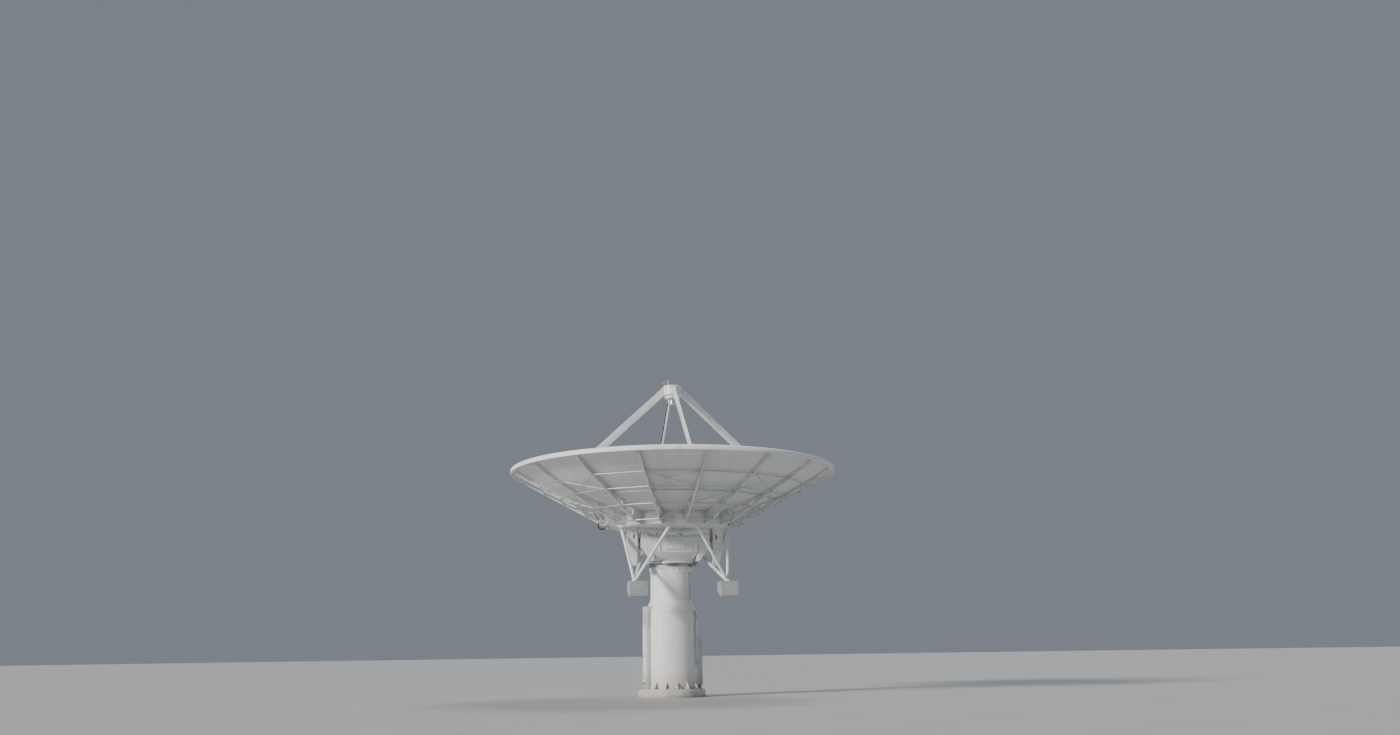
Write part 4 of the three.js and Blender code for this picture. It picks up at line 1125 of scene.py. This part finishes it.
def low(r):
    if r <= KNEE[0]:
        return HUB_Z + 0.002 + (r - 2.06) / (KNEE[0] - 2.06) * (KNEE[1] - HUB_Z - 0.002)
    return KNEE[1] + SLOPE * (r - KNEE[0])


def face(r):
    steps = [0.0] + STEPS
    i = next((k for k in range(1, len(steps)) if r <= steps[k]), len(steps) - 1)
    a, b = steps[i - 1], steps[i]
    t = (r - a) / (b - a)
    return bowl(a) * (1 - t) + bowl(b) * t


def under(r):
    return bowl(r) - SHELL - 0.002


WEBS = [(2.054, 0), (2.27, 1), (2.50, 0), (2.96, 1), (3.33, 0), (3.79, 1), (4.18, 0), (4.60, 1), (4.93, 0), (5.28, 1)]
PLATES = [(2.066, 2.578), (2.990, 3.222), (3.500, 4.600)]  # where a thin web plate closes the lattice


def strip(points, deep, half, up):
    """A flat bar of depth `deep` along points in (r, z), half wide each side. up: it hangs below (-1) or stands above (+1) them."""
    n = len(points)
    v, f = [], []
    for r, z in points:
        for y in (-half, half):
            v.append((r, y, z))
            v.append((r, y, z + up * deep))
    for i in range(n - 1):
        a, b = i * 4, (i + 1) * 4
        f += [(a, b, b + 1, a + 1), (a + 2, a + 3, b + 3, b + 2), (a, a + 2, b + 2, b), (a + 1, b + 1, b + 3, a + 3)]
    f += [(0, 1, 3, 2), (4 * n - 4, 4 * n - 2, 4 * n - 1, 4 * n - 3)]
    return v, f


def rib_parts():
    out = []
    top = [(2.054 + (5.796 - 2.054) * i / 40, under(2.054 + (5.796 - 2.054) * i / 40)) for i in range(41)]
    out.append((strip(top, 0.008, 0.030, -1), RIBW))  # flange bonded under the skin
    out.append((strip([(r, z - 0.007) for r, z in top], 0.052, 0.006, -1), RIBW))  # its web
    bottom = [(2.054, low(2.054)), (KNEE[0], KNEE[1]), (5.70, low(5.70)), (5.796, low(5.796) + 0.006)]
    # lower chord: a rectangular tube with eased edges
    for a, b in zip(bottom, bottom[1:]):
        out.append((bevelled(strip([a, b], 0.060, 0.030, 1), 0.006, 1, 60), RIBW))
    # web plates with folded edges
    for a, b in PLATES:
        rs = sorted({a, b, *(a + (b - a) * i / 8 for i in range(1, 8)), *(r for r in (KNEE[0],) if a < r < b)})
        out.append((prism([(r, low(r) + 0.050) for r in rs] + [(r, under(r) - 0.050) for r in reversed(rs)], -0.003, 0.003), RIBW))
        for r in [q for q in (a + 0.003, b - 0.003) if q > 2.1]:
            out.append((bevelled(block(r - 0.003, r + 0.003, -0.024, 0.024, low(r) + 0.058, under(r) - 0.056), 0.001, 1), RIBW))
        for r in [q for q in (3.79, 4.18) if a < q < b]:
            out.append((bevelled(block(r - 0.004, r + 0.004, -0.022, 0.022, low(r) + 0.057, under(r) - 0.055), 0.001, 1), RIBW))
    nodes = [(r, (under(r) - 0.030) if s else (low(r) + 0.030)) for r, s in WEBS]
    for i, (a, b) in enumerate(zip(nodes, nodes[1:])):
        out.append((rod((a[0], 0, a[1]), (b[0], 0, b[1]), 0.021, 14), RIBW))
    last = (5.50, low(5.50) + 0.030)
    out.append((rod((nodes[-1][0], 0, nodes[-1][1]), (last[0], 0, last[1]), 0.020, 12), RIBW))
    # gusset plates at the joints, each with bolts through it
    for i, (r, z) in enumerate(nodes):
        s = WEBS[i][1]
        if 3.222 < r < 3.500:
            continue
        if s:
            g = [(r - 0.11, under(r - 0.11) - 0.012), (r - 0.10, z - 0.035), (r - 0.035, z - 0.085), (r + 0.035, z - 0.085), (r + 0.10, z - 0.02), (r + 0.11, under(r + 0.11) - 0.012)]
        else:
            lo = lambda q: low(max(2.056, q)) + 0.006
            a0 = max(2.056, r - 0.11)
            g = [(a0, lo(a0)), (r + 0.11, lo(r + 0.11)), (r + 0.10, z + 0.075), (r + 0.035, z + 0.085), (max(2.056, r - 0.035), z + 0.075), (a0, z + 0.02)]
            g = g[:2] + g[2:]
        out.append((bevelled(prism(g, -0.010, 0.010), 0.0015, 1), RIBW))
        kit = bolt(r=0.010, h=0.008, washer=1.3)
        for dr, dz in ((-0.045, -0.03 if s else 0.035), (0.045, -0.03 if s else 0.045), (0.0, -0.055 if s else 0.055)):
            if r + dr < 2.075:
                continue
            for side in (-1, 1):
                for k in kit:
                    out.append((moved(k, frame_at((r + dr, side * 0.010, z + dz), (0, side, 0))), BOLT))
    # end plate where the rib meets the hub
    z0, z1 = HUB_Z + 0.004, under(2.056) - 0.004
    out.append((bevelled(block(2.0545, 2.066, -0.075, 0.075, z0, z1), 0.002, 1), RIBW))
    kit = bolt(r=0.013, h=0.011, washer=1.3)
    for y in (-0.056, 0.056):
        for k in range(5):
            z = z0 + 0.045 + k * (z1 - z0 - 0.09) / 4
            for q in kit:
                out.append((moved(q, frame_at((2.066, y, z), (1, 0, 0))), BOLT))
    return out


rib_kit = rib_parts()
for k in range(16):
    p = Piece()
    t = Matrix.Translation((0, DY, 0)) @ Matrix.Rotation(2 * pi * k / 16, 4, "Z")
    for vf, mat in rib_kit:
        p.add(moved(vf, t), mat)
    name = "rib_%02d" % (k + 1)
    p.make("frame_" + name, "dish", [name])

# hoops between the ribs, and bracing in every other bay
def spoke(r, z, k, off=0.0, y=0.0):
    a = 2 * pi * k / 16 + off
    return (r * math.cos(a) - y * math.sin(a), DY + r * math.sin(a) + y * math.cos(a), z)


for name, r, tube, upper in (("knee", 2.50, 0.026, 0), ("inner", 3.33, 0.024, 0), ("middle", 4.18, 0.022, 0), ("outer", 4.93, 0.020, 0), ("upper", 3.79, 0.018, 1)):
    p = Piece()
    z = (under(r) - 0.075) if upper else (low(r) + 0.030)
    for k in range(16):
        a = spoke(r, z, k, y=0.031)
        b = spoke(r, z, k + 1, y=-0.031)
        va, vb = Vector(a), Vector(b)
        p.add(rod(a, b, tube, 16), GALV)
        d = (vb - va).normalized()
        for q, s in ((va, 1), (vb, -1)):
            p.add(sweep([tuple(q - d * s * 0.001), tuple(q + d * s * 0.012)], tube * 1.75, 16), GALV)
    p.make("hoop_" + name, "dish", ())

p = Piece()
for k in range(16):
    for r0, r1 in ((2.50, 3.33), (3.33, 4.18), (4.18, 4.93)):
        if (k + (0 if r0 < 3 else 1 if r0 < 4 else 0)) % 2:
            a = spoke(r0, low(r0) + 0.030, k, y=0.04)
            b = spoke(r1, low(r1) + 0.030, k + 1, y=-0.04)
            p.add(rod(a, b, 0.013, 10), GALV)
            a = spoke(r1, low(r1) + 0.030, k, y=0.04)
            b = spoke(r0, low(r0) + 0.030, k + 1, y=-0.04)
            p.add(rod(a, b, 0.013, 10), GALV)
p.make("hoop_bracing", "dish", ())

# ---- brackets, weights and struts, a set on each side
SLEEVE = Vector((1.69, -1.88, 4.01))
FEET = {"side": Vector((1.985, -0.770, HUB_Z)), "front": Vector((0.457, -2.350, HUB_Z)), "back": Vector((0.611, 1.350, HUB_Z))}
LEVELS = [(HUB_Z - 0.0003, 1.405, 1.765, -0.90, -0.48), (5.4, 1.405, 1.765, -0.89, -0.49), (4.8, 1.405, 1.68, -0.85, -0.53), (4.64, 1.43, 1.55, -0.81, -0.57)]


def loft(levels):
    v, f = [], []
    for z, x0, x1, y0, y1 in levels:
        v += [(x0, y0, z), (x1, y0, z), (x1, y1, z), (x0, y1, z)]
    n = len(levels)
    for i in range(n - 1):
        for k in range(4):
            j = (k + 1) % 4
            f.append((i * 4 + k, i * 4 + j, (i + 1) * 4 + j, (i + 1) * 4 + k))
    f += [(0, 1, 2, 3), tuple((n - 1) * 4 + k for k in (3, 2, 1, 0))]
    return v, f


bracket_body = bevelled(cut_by(loft(LEVELS), block(1.50, 1.562, -1.2, 0.0, 5.60, 5.765)), 0.006, 2)
for s, side in ((1, "right"), (-1, "left")):
    flip = (lambda q: q) if s > 0 else mirrored
    p = Piece()
    p.add(flip(bracket_body), WHITE2)
    a, b = Vector((1.61, -0.69, 4.70)), Vector((2.0, -0.69, 6.04))
    t = (HUB_Z - 0.0003 - a.z) / (b.z - a.z)
    top = a.lerp(b, t)
    p.add(flip(rod(tuple(a), tuple(top), 0.057, 32)), WHITE2)
    p.add(flip(moved(turned([(0, 0), (0.09, 0), (0.09, 0.012), (0, 0.012)], 32), Matrix.Translation((top.x - 0.01, top.y, HUB_Z - 0.0125)))), WHITE2)
    # stub shaft and its boss
    p.add(flip(rod((1.04, AY, AZ), (1.40, AY, AZ), 0.1195, 64)), SHAFT)
    lie = Matrix(((0, 0, 1, 0), (0, 1, 0, AY), (-1, 0, 0, AZ), (0, 0, 0, 1)))
    p.add(flip(moved(turned(arc_profile([(0, 1.378), (0.165, 1.378), (0.165, 1.408), (0, 1.408)], {1: 0.004}), 64), lie)), WHITE2)
    p.add(flip(moved(turned(arc_profile([(0, 1.7), (0.155, 1.7), (0.155, 1.783), (0.12, 1.789), (0, 1.789)], {2: 0.005}), 64), lie)), WHITE2)
    spots = [((s * 1.789, AY + 0.10 * math.cos(2 * pi * i / 8), AZ + 0.10 * math.sin(2 * pi * i / 8)), (s, 0, 0)) for i in range(8)]
    p.bolts(spots, r=0.013, h=0.011)
    # inner gusset between the bracket and the hub's underside
    p.add(flip(bevelled(prism([(1.4045, 5.50), (1.4045, HUB_Z - 0.0004), (1.325, HUB_Z - 0.0004), (1.325, 5.578)], -0.663, -0.637), 0.003, 1)), WHITE2)
    # a top flange against the hub, with weld beads and small webs
    ring_pts = [(1.385, -0.918), (1.785, -0.918), (1.785, -0.462), (1.385, -0.462)]
    p.add(flip(bevelled(prism(ring_pts, HUB_Z - 0.016, HUB_Z - 0.0004, "xy"), 0.003, 1)), WHITE2)
    for y, n in ((-0.902, -1), (-0.478, 1)):
        p.add(flip(bead([(1.41, y, HUB_Z - 0.018), (1.76, y, HUB_Z - 0.018)], 0.006)), WHITE2)
        for x in (1.44, 1.73):
            w = bevelled(prism([(x - 0.006, 5.70), (x + 0.006, 5.70), (x + 0.006, HUB_Z - 0.014), (x - 0.006, HUB_Z - 0.014)], y, y + n * 0.012), 0.002, 1)
            p.add(flip(w), WHITE2)
    p.make("carrier_" + side, "dish", ["bracket_" + side])

    # the weight: a pack of bolted plates
    p = Piece()
    outline = [(-2.430, 3.490), (-2.395, 3.450), (-2.290, 3.450), (-1.890, 3.655), (-1.850, 3.740), (-1.850, 3.950), (-2.150, 4.005), (-2.400, 4.005), (-2.430, 3.975)]
    n = 9
    x0, x1 = 1.3055, 1.9505
    w = (x1 - x0) / n
    for i in range(n):
        a, b = x0 + i * w + 0.002, x0 + (i + 1) * w - 0.002
        p.add(flip(bevelled(prism(outline, a, b, "yz"), 0.005, 1)), WEIGHT)
    inside = [(y * 0.985 - 0.033, z * 0.985 + 0.056) for y, z in outline]
    p.add(flip(prism(inside, x0 + 0.01, x1 - 0.01, "yz")), DARKP)
    places = [(-2.34, 3.55), (-2.34, 3.90), (-1.96, 3.80), (-2.10, 3.62)]
    for y, z in places:
        p.bolts([((s * x1, y, z), (s, 0, 0)), ((s * x0, y, z), (-s, 0, 0))], r=0.026, h=0.022)
    for x in (1.45, 1.80):
        # screw plugs in the lifting holes
        p.add(flip(turned([(0, 4.0), (0.020, 4.0), (0.020, 4.0075), (0.017, 4.009), (0, 4.009)], 6, (x, -2.28))), BOLT)
    p.add(flip(moved(turned([(0.105 * math.sin(pi * i / 24), -0.105 * math.cos(pi * i / 24)) for i in range(25)], 48), Matrix.Translation(SLEEVE))), WHITE2)
    p.make("weight_" + side, "dish", ["counterweight_" + side])

    for which, foot in FEET.items():
        p = Piece()
        d = (foot - SLEEVE).normalized()
        start = SLEEVE + d * 0.09
        if which != "side":
            start = SLEEVE + d * 0.11
        p.add(flip(rod(tuple(start), tuple(foot - d * 0.012), 0.055, 32)), WHITE2)
        # a collar at the ball and a flange under the hub
        p.add(flip(bead([tuple(q) for q in [SLEEVE + d * 0.098 + (frame_at((0, 0, 0), d) @ Vector((0.056 * math.cos(2 * pi * i / 16), 0.056 * math.sin(2 * pi * i / 16), 0))) for i in range(16)]], 0.006, True)), WHITE2)
        up = Vector((0, 0, 1))
        centre = foot.copy()
        if which == "side":
            plate_r = 0.062
        else:
            plate_r = 0.135
            p.add(flip(bevelled(turned([(0, HUB_Z - 0.0145), (plate_r, HUB_Z - 0.0145), (plate_r, HUB_Z - 0.0005), (0, HUB_Z - 0.0005)], 40, (centre.x, centre.y)), 0.002, 1, 60)), WHITE2)
            spots = []
            for i in range(6):
                a = 2 * pi * (i + 0.5) / 6
                spots.append(((s * (centre.x + 0.112 * math.cos(a)), centre.y + 0.112 * math.sin(a), HUB_Z - 0.0145), (0, 0, -1)))
            p.bolts(spots, r=0.012, h=0.010)
        if which == "side":
            p.add(flip(turned([(0, HUB_Z - 0.012), (plate_r, HUB_Z - 0.012), (plate_r, HUB_Z - 0.0005), (0, HUB_Z - 0.0005)], 32, (centre.x, centre.y - 0.01))), WHITE2)
        p.make("tube_%s_%s" % (which, side), "dish", ["strut_%s_%s" % (which, side)])

# ---- feed legs
LEG_DEEP, LEG_WIDE, LEG_SLOPE, LEG_R0, LEG_Z0 = 0.262, 0.055, 1.07, 0.580, 10.950
sideways = (LEG_DEEP / 2) * math.hypot(1, LEG_SLOPE)


def leg_z(r, side):
    return LEG_Z0 - (r - side * sideways - LEG_R0) / LEG_SLOPE


def leg_foot(side, pad=0.024):
    r = 4.45
    for _ in range(60):
        z = face(r) + pad
        r += 0.5 * (LEG_R0 + side * sideways + LEG_SLOPE * (LEG_Z0 - z) - r)
    return (r, face(r) + pad)


inner, outer = leg_foot(-1), leg_foot(1)
tip = 0.3556
leg_dir = Vector((LEG_SLOPE, 0, -1)).normalized()
leg_up = Vector((1, 0, LEG_SLOPE)).normalized()


def leg_point(t, side):
    """t: metres down the leg from the apex; side: metres off its centre line."""
    return Vector((LEG_R0, 0, LEG_Z0)) + leg_dir * t + leg_up * side


def leg_parts():
    out = []
    outline = [inner, outer, (tip, leg_z(tip, 1)), (tip, leg_z(tip, -1))]
    out.append((bevelled(prism(outline, -LEG_WIDE / 2, LEG_WIDE / 2), 0.009, 3), LEGW))
    # splice plates, two a leg, on both cheeks, with their bolts
    for t in (1.55, 3.25):
        for s in (-1, 1):
            q = [leg_point(t - 0.16, -0.105), leg_point(t + 0.16, -0.105), leg_point(t + 0.16, 0.105), leg_point(t - 0.16, 0.105)]
            y0, y1 = sorted((s * LEG_WIDE / 2, s * (LEG_WIDE / 2 + 0.007)))
            out.append((bevelled(prism([(a.x, a.z) for a in q], y0, y1), 0.002, 1), LEGW))
            kit = bolt(r=0.010, h=0.008, washer=1.3)
            for dt in (-0.12, -0.045, 0.045, 0.12):
                for u in (-0.075, 0.075):
                    a = leg_point(t + dt, u)
                    for k in kit:
                        out.append((moved(k, frame_at((a.x, s * (LEG_WIDE / 2 + 0.007), a.z), (0, s, 0))), BOLT))
    middle = (inner[0] + outer[0]) / 2
    lean = math.atan2(outer[1] - inner[1], outer[0] - inner[0])
    z = (inner[1] + outer[1]) / 2
    on = Matrix.Translation((middle, 0, z)) @ Matrix.Rotation(-lean, 4, "Y")
    out.append((moved(bevelled(block(-0.26, 0.26, -0.095, 0.095, -0.024, -0.002), 0.003, 1), on), LEGW))
    # upstanding cheeks on the foot plate
    for s in (-1, 1):
        y0, y1 = sorted((s * (LEG_WIDE / 2 + 0.001), s * (LEG_WIDE / 2 + 0.010)))
        cheek = [(-0.20, -0.004), (0.20, -0.004), (0.16, 0.06), (-0.02, 0.19), (-0.16, 0.12)]
        out.append((moved(bevelled(prism(cheek, y0, y1), 0.002, 1), on), LEGW))
        kit = bolt(r=0.012, h=0.010, washer=1.3)
        for x, zz in ((-0.13, 0.035), (0.0, 0.035), (0.12, 0.030), (-0.10, 0.095), (-0.02, 0.14)):
            for k in kit:
                out.append((moved(moved(k, frame_at((x, s * (LEG_WIDE / 2 + 0.010), zz), (0, s, 0))), on), BOLT))
        for x in (-0.225, -0.08, 0.08, 0.225):
            for k in bolt(r=0.012, h=0.010, washer=1.35):
                out.append((moved(moved(k, frame_at((x, s * 0.070, -0.002), (0, 0, 1))), on), BOLT))
    # shoe at the apex
    for s in (-1, 1):
        y0, y1 = sorted((s * LEG_WIDE / 2, s * (LEG_WIDE / 2 + 0.009)))
        q = [(0.357, 11.03), (0.357, 11.36), (0.42, leg_z(0.42, 1) - 0.02), (0.62, leg_z(0.62, 1) - 0.02), (0.62, leg_z(0.62, -1) + 0.02), (0.52, leg_z(0.52, -1) + 0.02)]
        q = [(a, min(b, 11.36)) for a, b in q]
        out.append((bevelled(prism(q, y0, y1), 0.002, 1), LEGW))
        for x, zz in ((0.40, 11.10), (0.40, 11.22), (0.48, 11.00), (0.50, 11.12), (0.58, 10.93), (0.585, 11.03)):
            for k in bolt(r=0.011, h=0.009, washer=1.3):
                out.append((moved(k, frame_at((x, s * (LEG_WIDE / 2 + 0.009), zz), (0, s, 0))), BOLT))
    return out


leg_kit = leg_parts()
for k, where in enumerate(("right", "rear", "left", "front")):
    p = Piece()
    t = Matrix.Translation((0, DY, 0)) @ Matrix.Rotation(k * pi / 2, 4, "Z")
    for vf, mat in leg_kit:
        p.add(moved(vf, t), mat)
    p.make("leg_" + where, "dish", ["feed_leg_" + where])

# cables in clips down the rear leg's cheek
p = Piece()
t = Matrix.Translation((0, DY, 0)) @ Matrix.Rotation(pi / 2, 4, "Z")
for i, (u, r) in enumerate(((-0.030, 0.014), (0.004, 0.011), (0.032, 0.011))):
    path = [leg_point(q, u) + Vector((0, LEG_WIDE / 2 + 0.020, 0)) for q in (0.10, 0.8, 1.3, 2.2, 3.0, 4.0, 4.75)]
    path = [q if not (1.3 < (q - Vector((LEG_R0, 0, LEG_Z0))).length < 1.8) else q for q in path]
    p.add(moved(sweep([tuple(q) for q in path], r, 12), t), BLACK)
for q in [0.3 + 0.42 * i for i in range(11)]:
    a = leg_point(q, 0.0)
    m = Matrix.Translation((a.x, LEG_WIDE / 2, a.z)) @ Matrix.Rotation(math.atan2(1, LEG_SLOPE), 4, "Y")
    p.add(moved(moved(bevelled(block(-0.012, 0.012, 0.0, 0.036, -0.055, 0.055), 0.003, 1), m), t), GALV)
p.make("feed_cables", "dish", ())

# ---- apex
p = Piece()
z0, z1 = 11.02, 11.385
drum = arc_profile([(0, z0), (0.340, z0), (0.355, z0 + 0.015), (0.355, z0 + 0.045), (0.345, z0 + 0.050), (0.345, z1 - 0.070), (0.355, z1 - 0.065), (0.355, z1 - 0.020), (0.335, z1), (0, z1)], {1: 0.004, 2: 0.004, 3: 0.002, 6: 0.002, 7: 0.006, 8: 0.006})
p.add(turned(drum, 96, (0, DY)), LEGW)
for i in range(24):
    a = 2 * pi * (i + 0.5) / 24
    if i % 6 in (0, 5):
        pass
    t = Matrix.Translation((0, DY, 0)) @ Matrix.Rotation(a, 4, "Z")
    p.bolts([(tuple(t @ Vector((0.312, 0, z1))), (0, 0, 1))], r=0.009, h=0.008, washer=1.3)
p.add(turned(arc_profile([(0, z1 - 0.002), (0.27, z1 - 0.002), (0.27, z1 + 0.005), (0, z1 + 0.005)], {2: 0.003}), 80, (0, DY)), LEGW)
box_ = arc_profile([(0, 10.910), (0.272, 10.910), (0.280, 10.918), (0.280, 11.024), (0, 11.024)], {1: 0.003, 2: 0.003})
p.add(turned(box_, 80, (0, DY)), LEGW)
for i in range(12):
    a = 2 * pi * (i + 0.5) / 12
    t = Matrix.Translation((0, DY, 0)) @ Matrix.Rotation(a, 4, "Z")
    p.add(moved(bevelled(block(0.276, 0.292, -0.004, 0.004, 10.930, 11.008), 0.0015, 1), t), LEGW)
p.make("apex", "dish", ["apex_drum"])

p = Piece()
z = 10.9097
horn = [(0, z), (0.105, z), (0.105, 10.892), (0.080, 10.888)]
for i in range(9):
    a = 10.882 - i * 0.019
    r = 0.070 + (0.105 - 0.070) * (i / 8) ** 1.3
    horn += [(r + 0.008, a), (r + 0.008, a - 0.009), (r - 0.001, a - 0.010), (r - 0.001, a - 0.018)]
horn += [(0.113, 10.712), (0.113, 10.705), (0.104, 10.705), (0.064, 10.850), (0.064, 10.885), (0, 10.885)]
p.add(turned(horn, 96, (0, DY)), HORN)
p.add(turned([(0, 10.7085), (0.104, 10.7085), (0.104, 10.7105), (0, 10.7105)], 64, (0, DY)), FILM)
p.bolts([((0.093 * math.cos(2 * pi * i / 8), DY + 0.093 * math.sin(2 * pi * i / 8), 10.892), (0, 0, -1)) for i in range(8)], r=0.006, h=0.005, washer=0)
p.make("horn", "dish", ["feed_horn"])

p = Piece()
p.add(turned(arc_profile([(0, 11.3853), (0.034, 11.3853), (0.034, 11.396), (0.020, 11.402), (0.017, 11.43), (0.012, 11.436), (0.0105, 11.60), (0.006, 11.64), (0.0015, 11.655), (0, 11.655)], {}), 24, (-0.15, DY)), GALV)
p.make("rod_top", "dish", ["lightning_rod"])

p = Piece()
p.add(turned([(0, 11.3853), (0.026, 11.3853), (0.026, 11.393), (0.013, 11.398), (0.0105, 11.44), (0.0105, 11.462), (0, 11.462)], 24, (-0.29, DY)), GALV)
loop_ = [(-0.29 + 0.062 * math.sin(2 * pi * i / 48), DY, 11.516 - 0.062 * math.cos(2 * pi * i / 48)) for i in range(48)]
p.add(sweep(loop_, 0.0085, 14, True), GALV)
p.add(turned([(0, 11.440), (0.017, 11.440), (0.017, 11.458), (0.011, 11.466), (0, 11.466)], 20, (-0.29, DY)), BLACK)
p.make("ring_top", "dish", ["ring_antenna"])

p = Piece()
p.add(turned(arc_profile([(0, 11.3853), (0.048, 11.3853), (0.048, 11.402), (0.038, 11.408), (0, 11.408)], {2: 0.004}), 32, (0.215, DY)), BLACK)
glass = [(0, 11.406)]
for i in range(6):
    zz = 11.408 + i * 0.007
    glass += [(0.034 - i * 0.0008, zz), (0.036 - i * 0.0008, zz + 0.0035)]
glass += [(0.030, 11.450), (0.024, 11.460), (0.014, 11.467), (0, 11.469)]
p.add(turned(glass, 32, (0.215, DY)), LENS)
p.make("lamp", "dish", ["obstruction_lamp"])

# ---- the conduit loop: a stiff bent pipe with a dark coat, between two gland blocks
LOOP_Y = DY - 0.030 - 0.027


def chord_point(r, along, out):
    """A point by the left rib: at radius r on its lower edge, moved along the chord and out of it."""
    return (-(r + 0.8777 * along + 0.4791 * out), LOOP_Y, 6.092 + 0.5458 * (r - 2.5) + 0.4791 * along - 0.8777 * out)


def spline(points, per):
    out = []
    for i in range(len(points) - 1):
        p0 = Vector(points[max(0, i - 1)])
        p1, p2 = Vector(points[i]), Vector(points[i + 1])
        p3 = Vector(points[min(len(points) - 1, i + 2)])
        for k in range(per):
            t = k / per
            out.append(0.5 * ((2 * p1) + (p2 - p0) * t + (2 * p0 - 5 * p1 + 4 * p2 - p3) * t * t + (-p0 + 3 * p1 - 3 * p2 + p3) * t ** 3))
    out.append(Vector(points[-1]))
    return out


LOOP_ENDS = {"inner": 2.528, "outer": 2.757}
for which, r0 in LOOP_ENDS.items():
    p = Piece()
    p.add(from_node("loop_gland_" + which, 0.004, 2), LIGHT)
    front = DY - 0.030 - 0.058
    lid = [chord_point(r0, a_, o_) for a_, o_ in [(-0.031, -0.003), (0.031, -0.003), (0.034, -0.006), (0.034, -0.043), (0.029, -0.048), (-0.029, -0.048), (-0.034, -0.043), (-0.034, -0.006)]]
    p.add(bevelled(prism([(q[0], q[2]) for q in lid], front - 0.005, front + 0.002), 0.0015, 1), LIGHT)
    screws = [chord_point(r0, a_, o_) for a_ in (-0.026, 0.026) for o_ in (-0.011, -0.039)]
    p.bolts([((q[0], front - 0.005, q[2]), (0, -1, 0)) for q in screws], r=0.0045, h=0.004, washer=0)
    down = (Vector(chord_point(r0, 0, 1)) - Vector(chord_point(r0, 0, 0))).normalized()
    neck = Vector(chord_point(r0, 0, 0))
    p.add(sweep([tuple(neck + down * 0.001), tuple(neck + down * 0.018), tuple(neck + down * 0.020)], [0.036, 0.036, 0.033], 6), BOLT)
    p.add(sweep([tuple(neck + down * 0.018), tuple(neck + down * 0.031), tuple(neck + down * 0.036)], [0.031, 0.031, 0.027], 24), BOLT)
    p.make("gland_block_" + which, "dish", ["loop_gland_" + which])

# rigid pipe on from the blocks: inwards to the hub, and out along the chord to a small box
p = Piece()
inner_run = [(-2.046, LOOP_Y, 6.036), (-2.30, LOOP_Y, 6.088), chord_point(2.50, -0.045, -0.026), chord_point(2.528, -0.038, -0.026)]
p.add(sweep([tuple(q) for q in spline(inner_run, 8)], 0.0155, 16), GALV)
outer_run = [chord_point(2.757, 0.038, -0.026), chord_point(3.62, 0.0, -0.026)]
p.add(rod(outer_run[0], outer_run[1], 0.0155, 16), GALV)
p.add(rod((-2.047, LOOP_Y, 6.0362), (-2.066, LOOP_Y, 6.0401), 0.026, 6), BOLT)
for r0 in (2.92, 3.24, 3.50):
    clip = [chord_point(r0, a_, o_) for a_, o_ in [(-0.014, -0.004), (0.014, -0.004), (0.014, -0.048), (-0.014, -0.048)]]
    p.add(bevelled(prism([(q[0], q[2]) for q in clip], DY - 0.0785, DY - 0.0308), 0.003, 1), GALV)
box = [chord_point(3.66, a_, o_) for a_, o_ in [(-0.045, -0.002), (0.075, -0.002), (0.075, -0.056), (-0.045, -0.056)]]
p.add(bevelled(prism([(q[0], q[2]) for q in box], DY - 0.086, DY - 0.0308), 0.004, 2), LIGHT)
lid = [chord_point(3.66, a_, o_) for a_, o_ in [(-0.040, -0.006), (0.070, -0.006), (0.070, -0.052), (-0.040, -0.052)]]
p.add(bevelled(prism([(q[0], q[2]) for q in lid], DY - 0.091, DY - 0.084), 0.0015, 1), LIGHT)
screws = [chord_point(3.66, a_, o_) for a_ in (-0.034, 0.064) for o_ in (-0.012, -0.046)]
p.bolts([((q[0], DY - 0.091, q[2]), (0, -1, 0)) for q in screws], r=0.0045, h=0.004, washer=0)
p.make("rib_conduit", "dish")

p = Piece()
knots = [chord_point(2.528, 0, 0.0045), chord_point(2.528, 0, 0.040), (-2.568, LOOP_Y, 6.012), (-2.615, LOOP_Y, 5.968), (-2.688, LOOP_Y, 5.957), (-2.764, LOOP_Y, 6.004), (-2.800, LOOP_Y, 6.085), chord_point(2.757, 0, 0.050), chord_point(2.757, 0, 0.0045)]
run = spline(knots, 16)
p.add(sweep([tuple(q) for q in run], 0.0250, 24), BLACK)
p.make("pipe_loop", "dish", ["conduit_loop"])
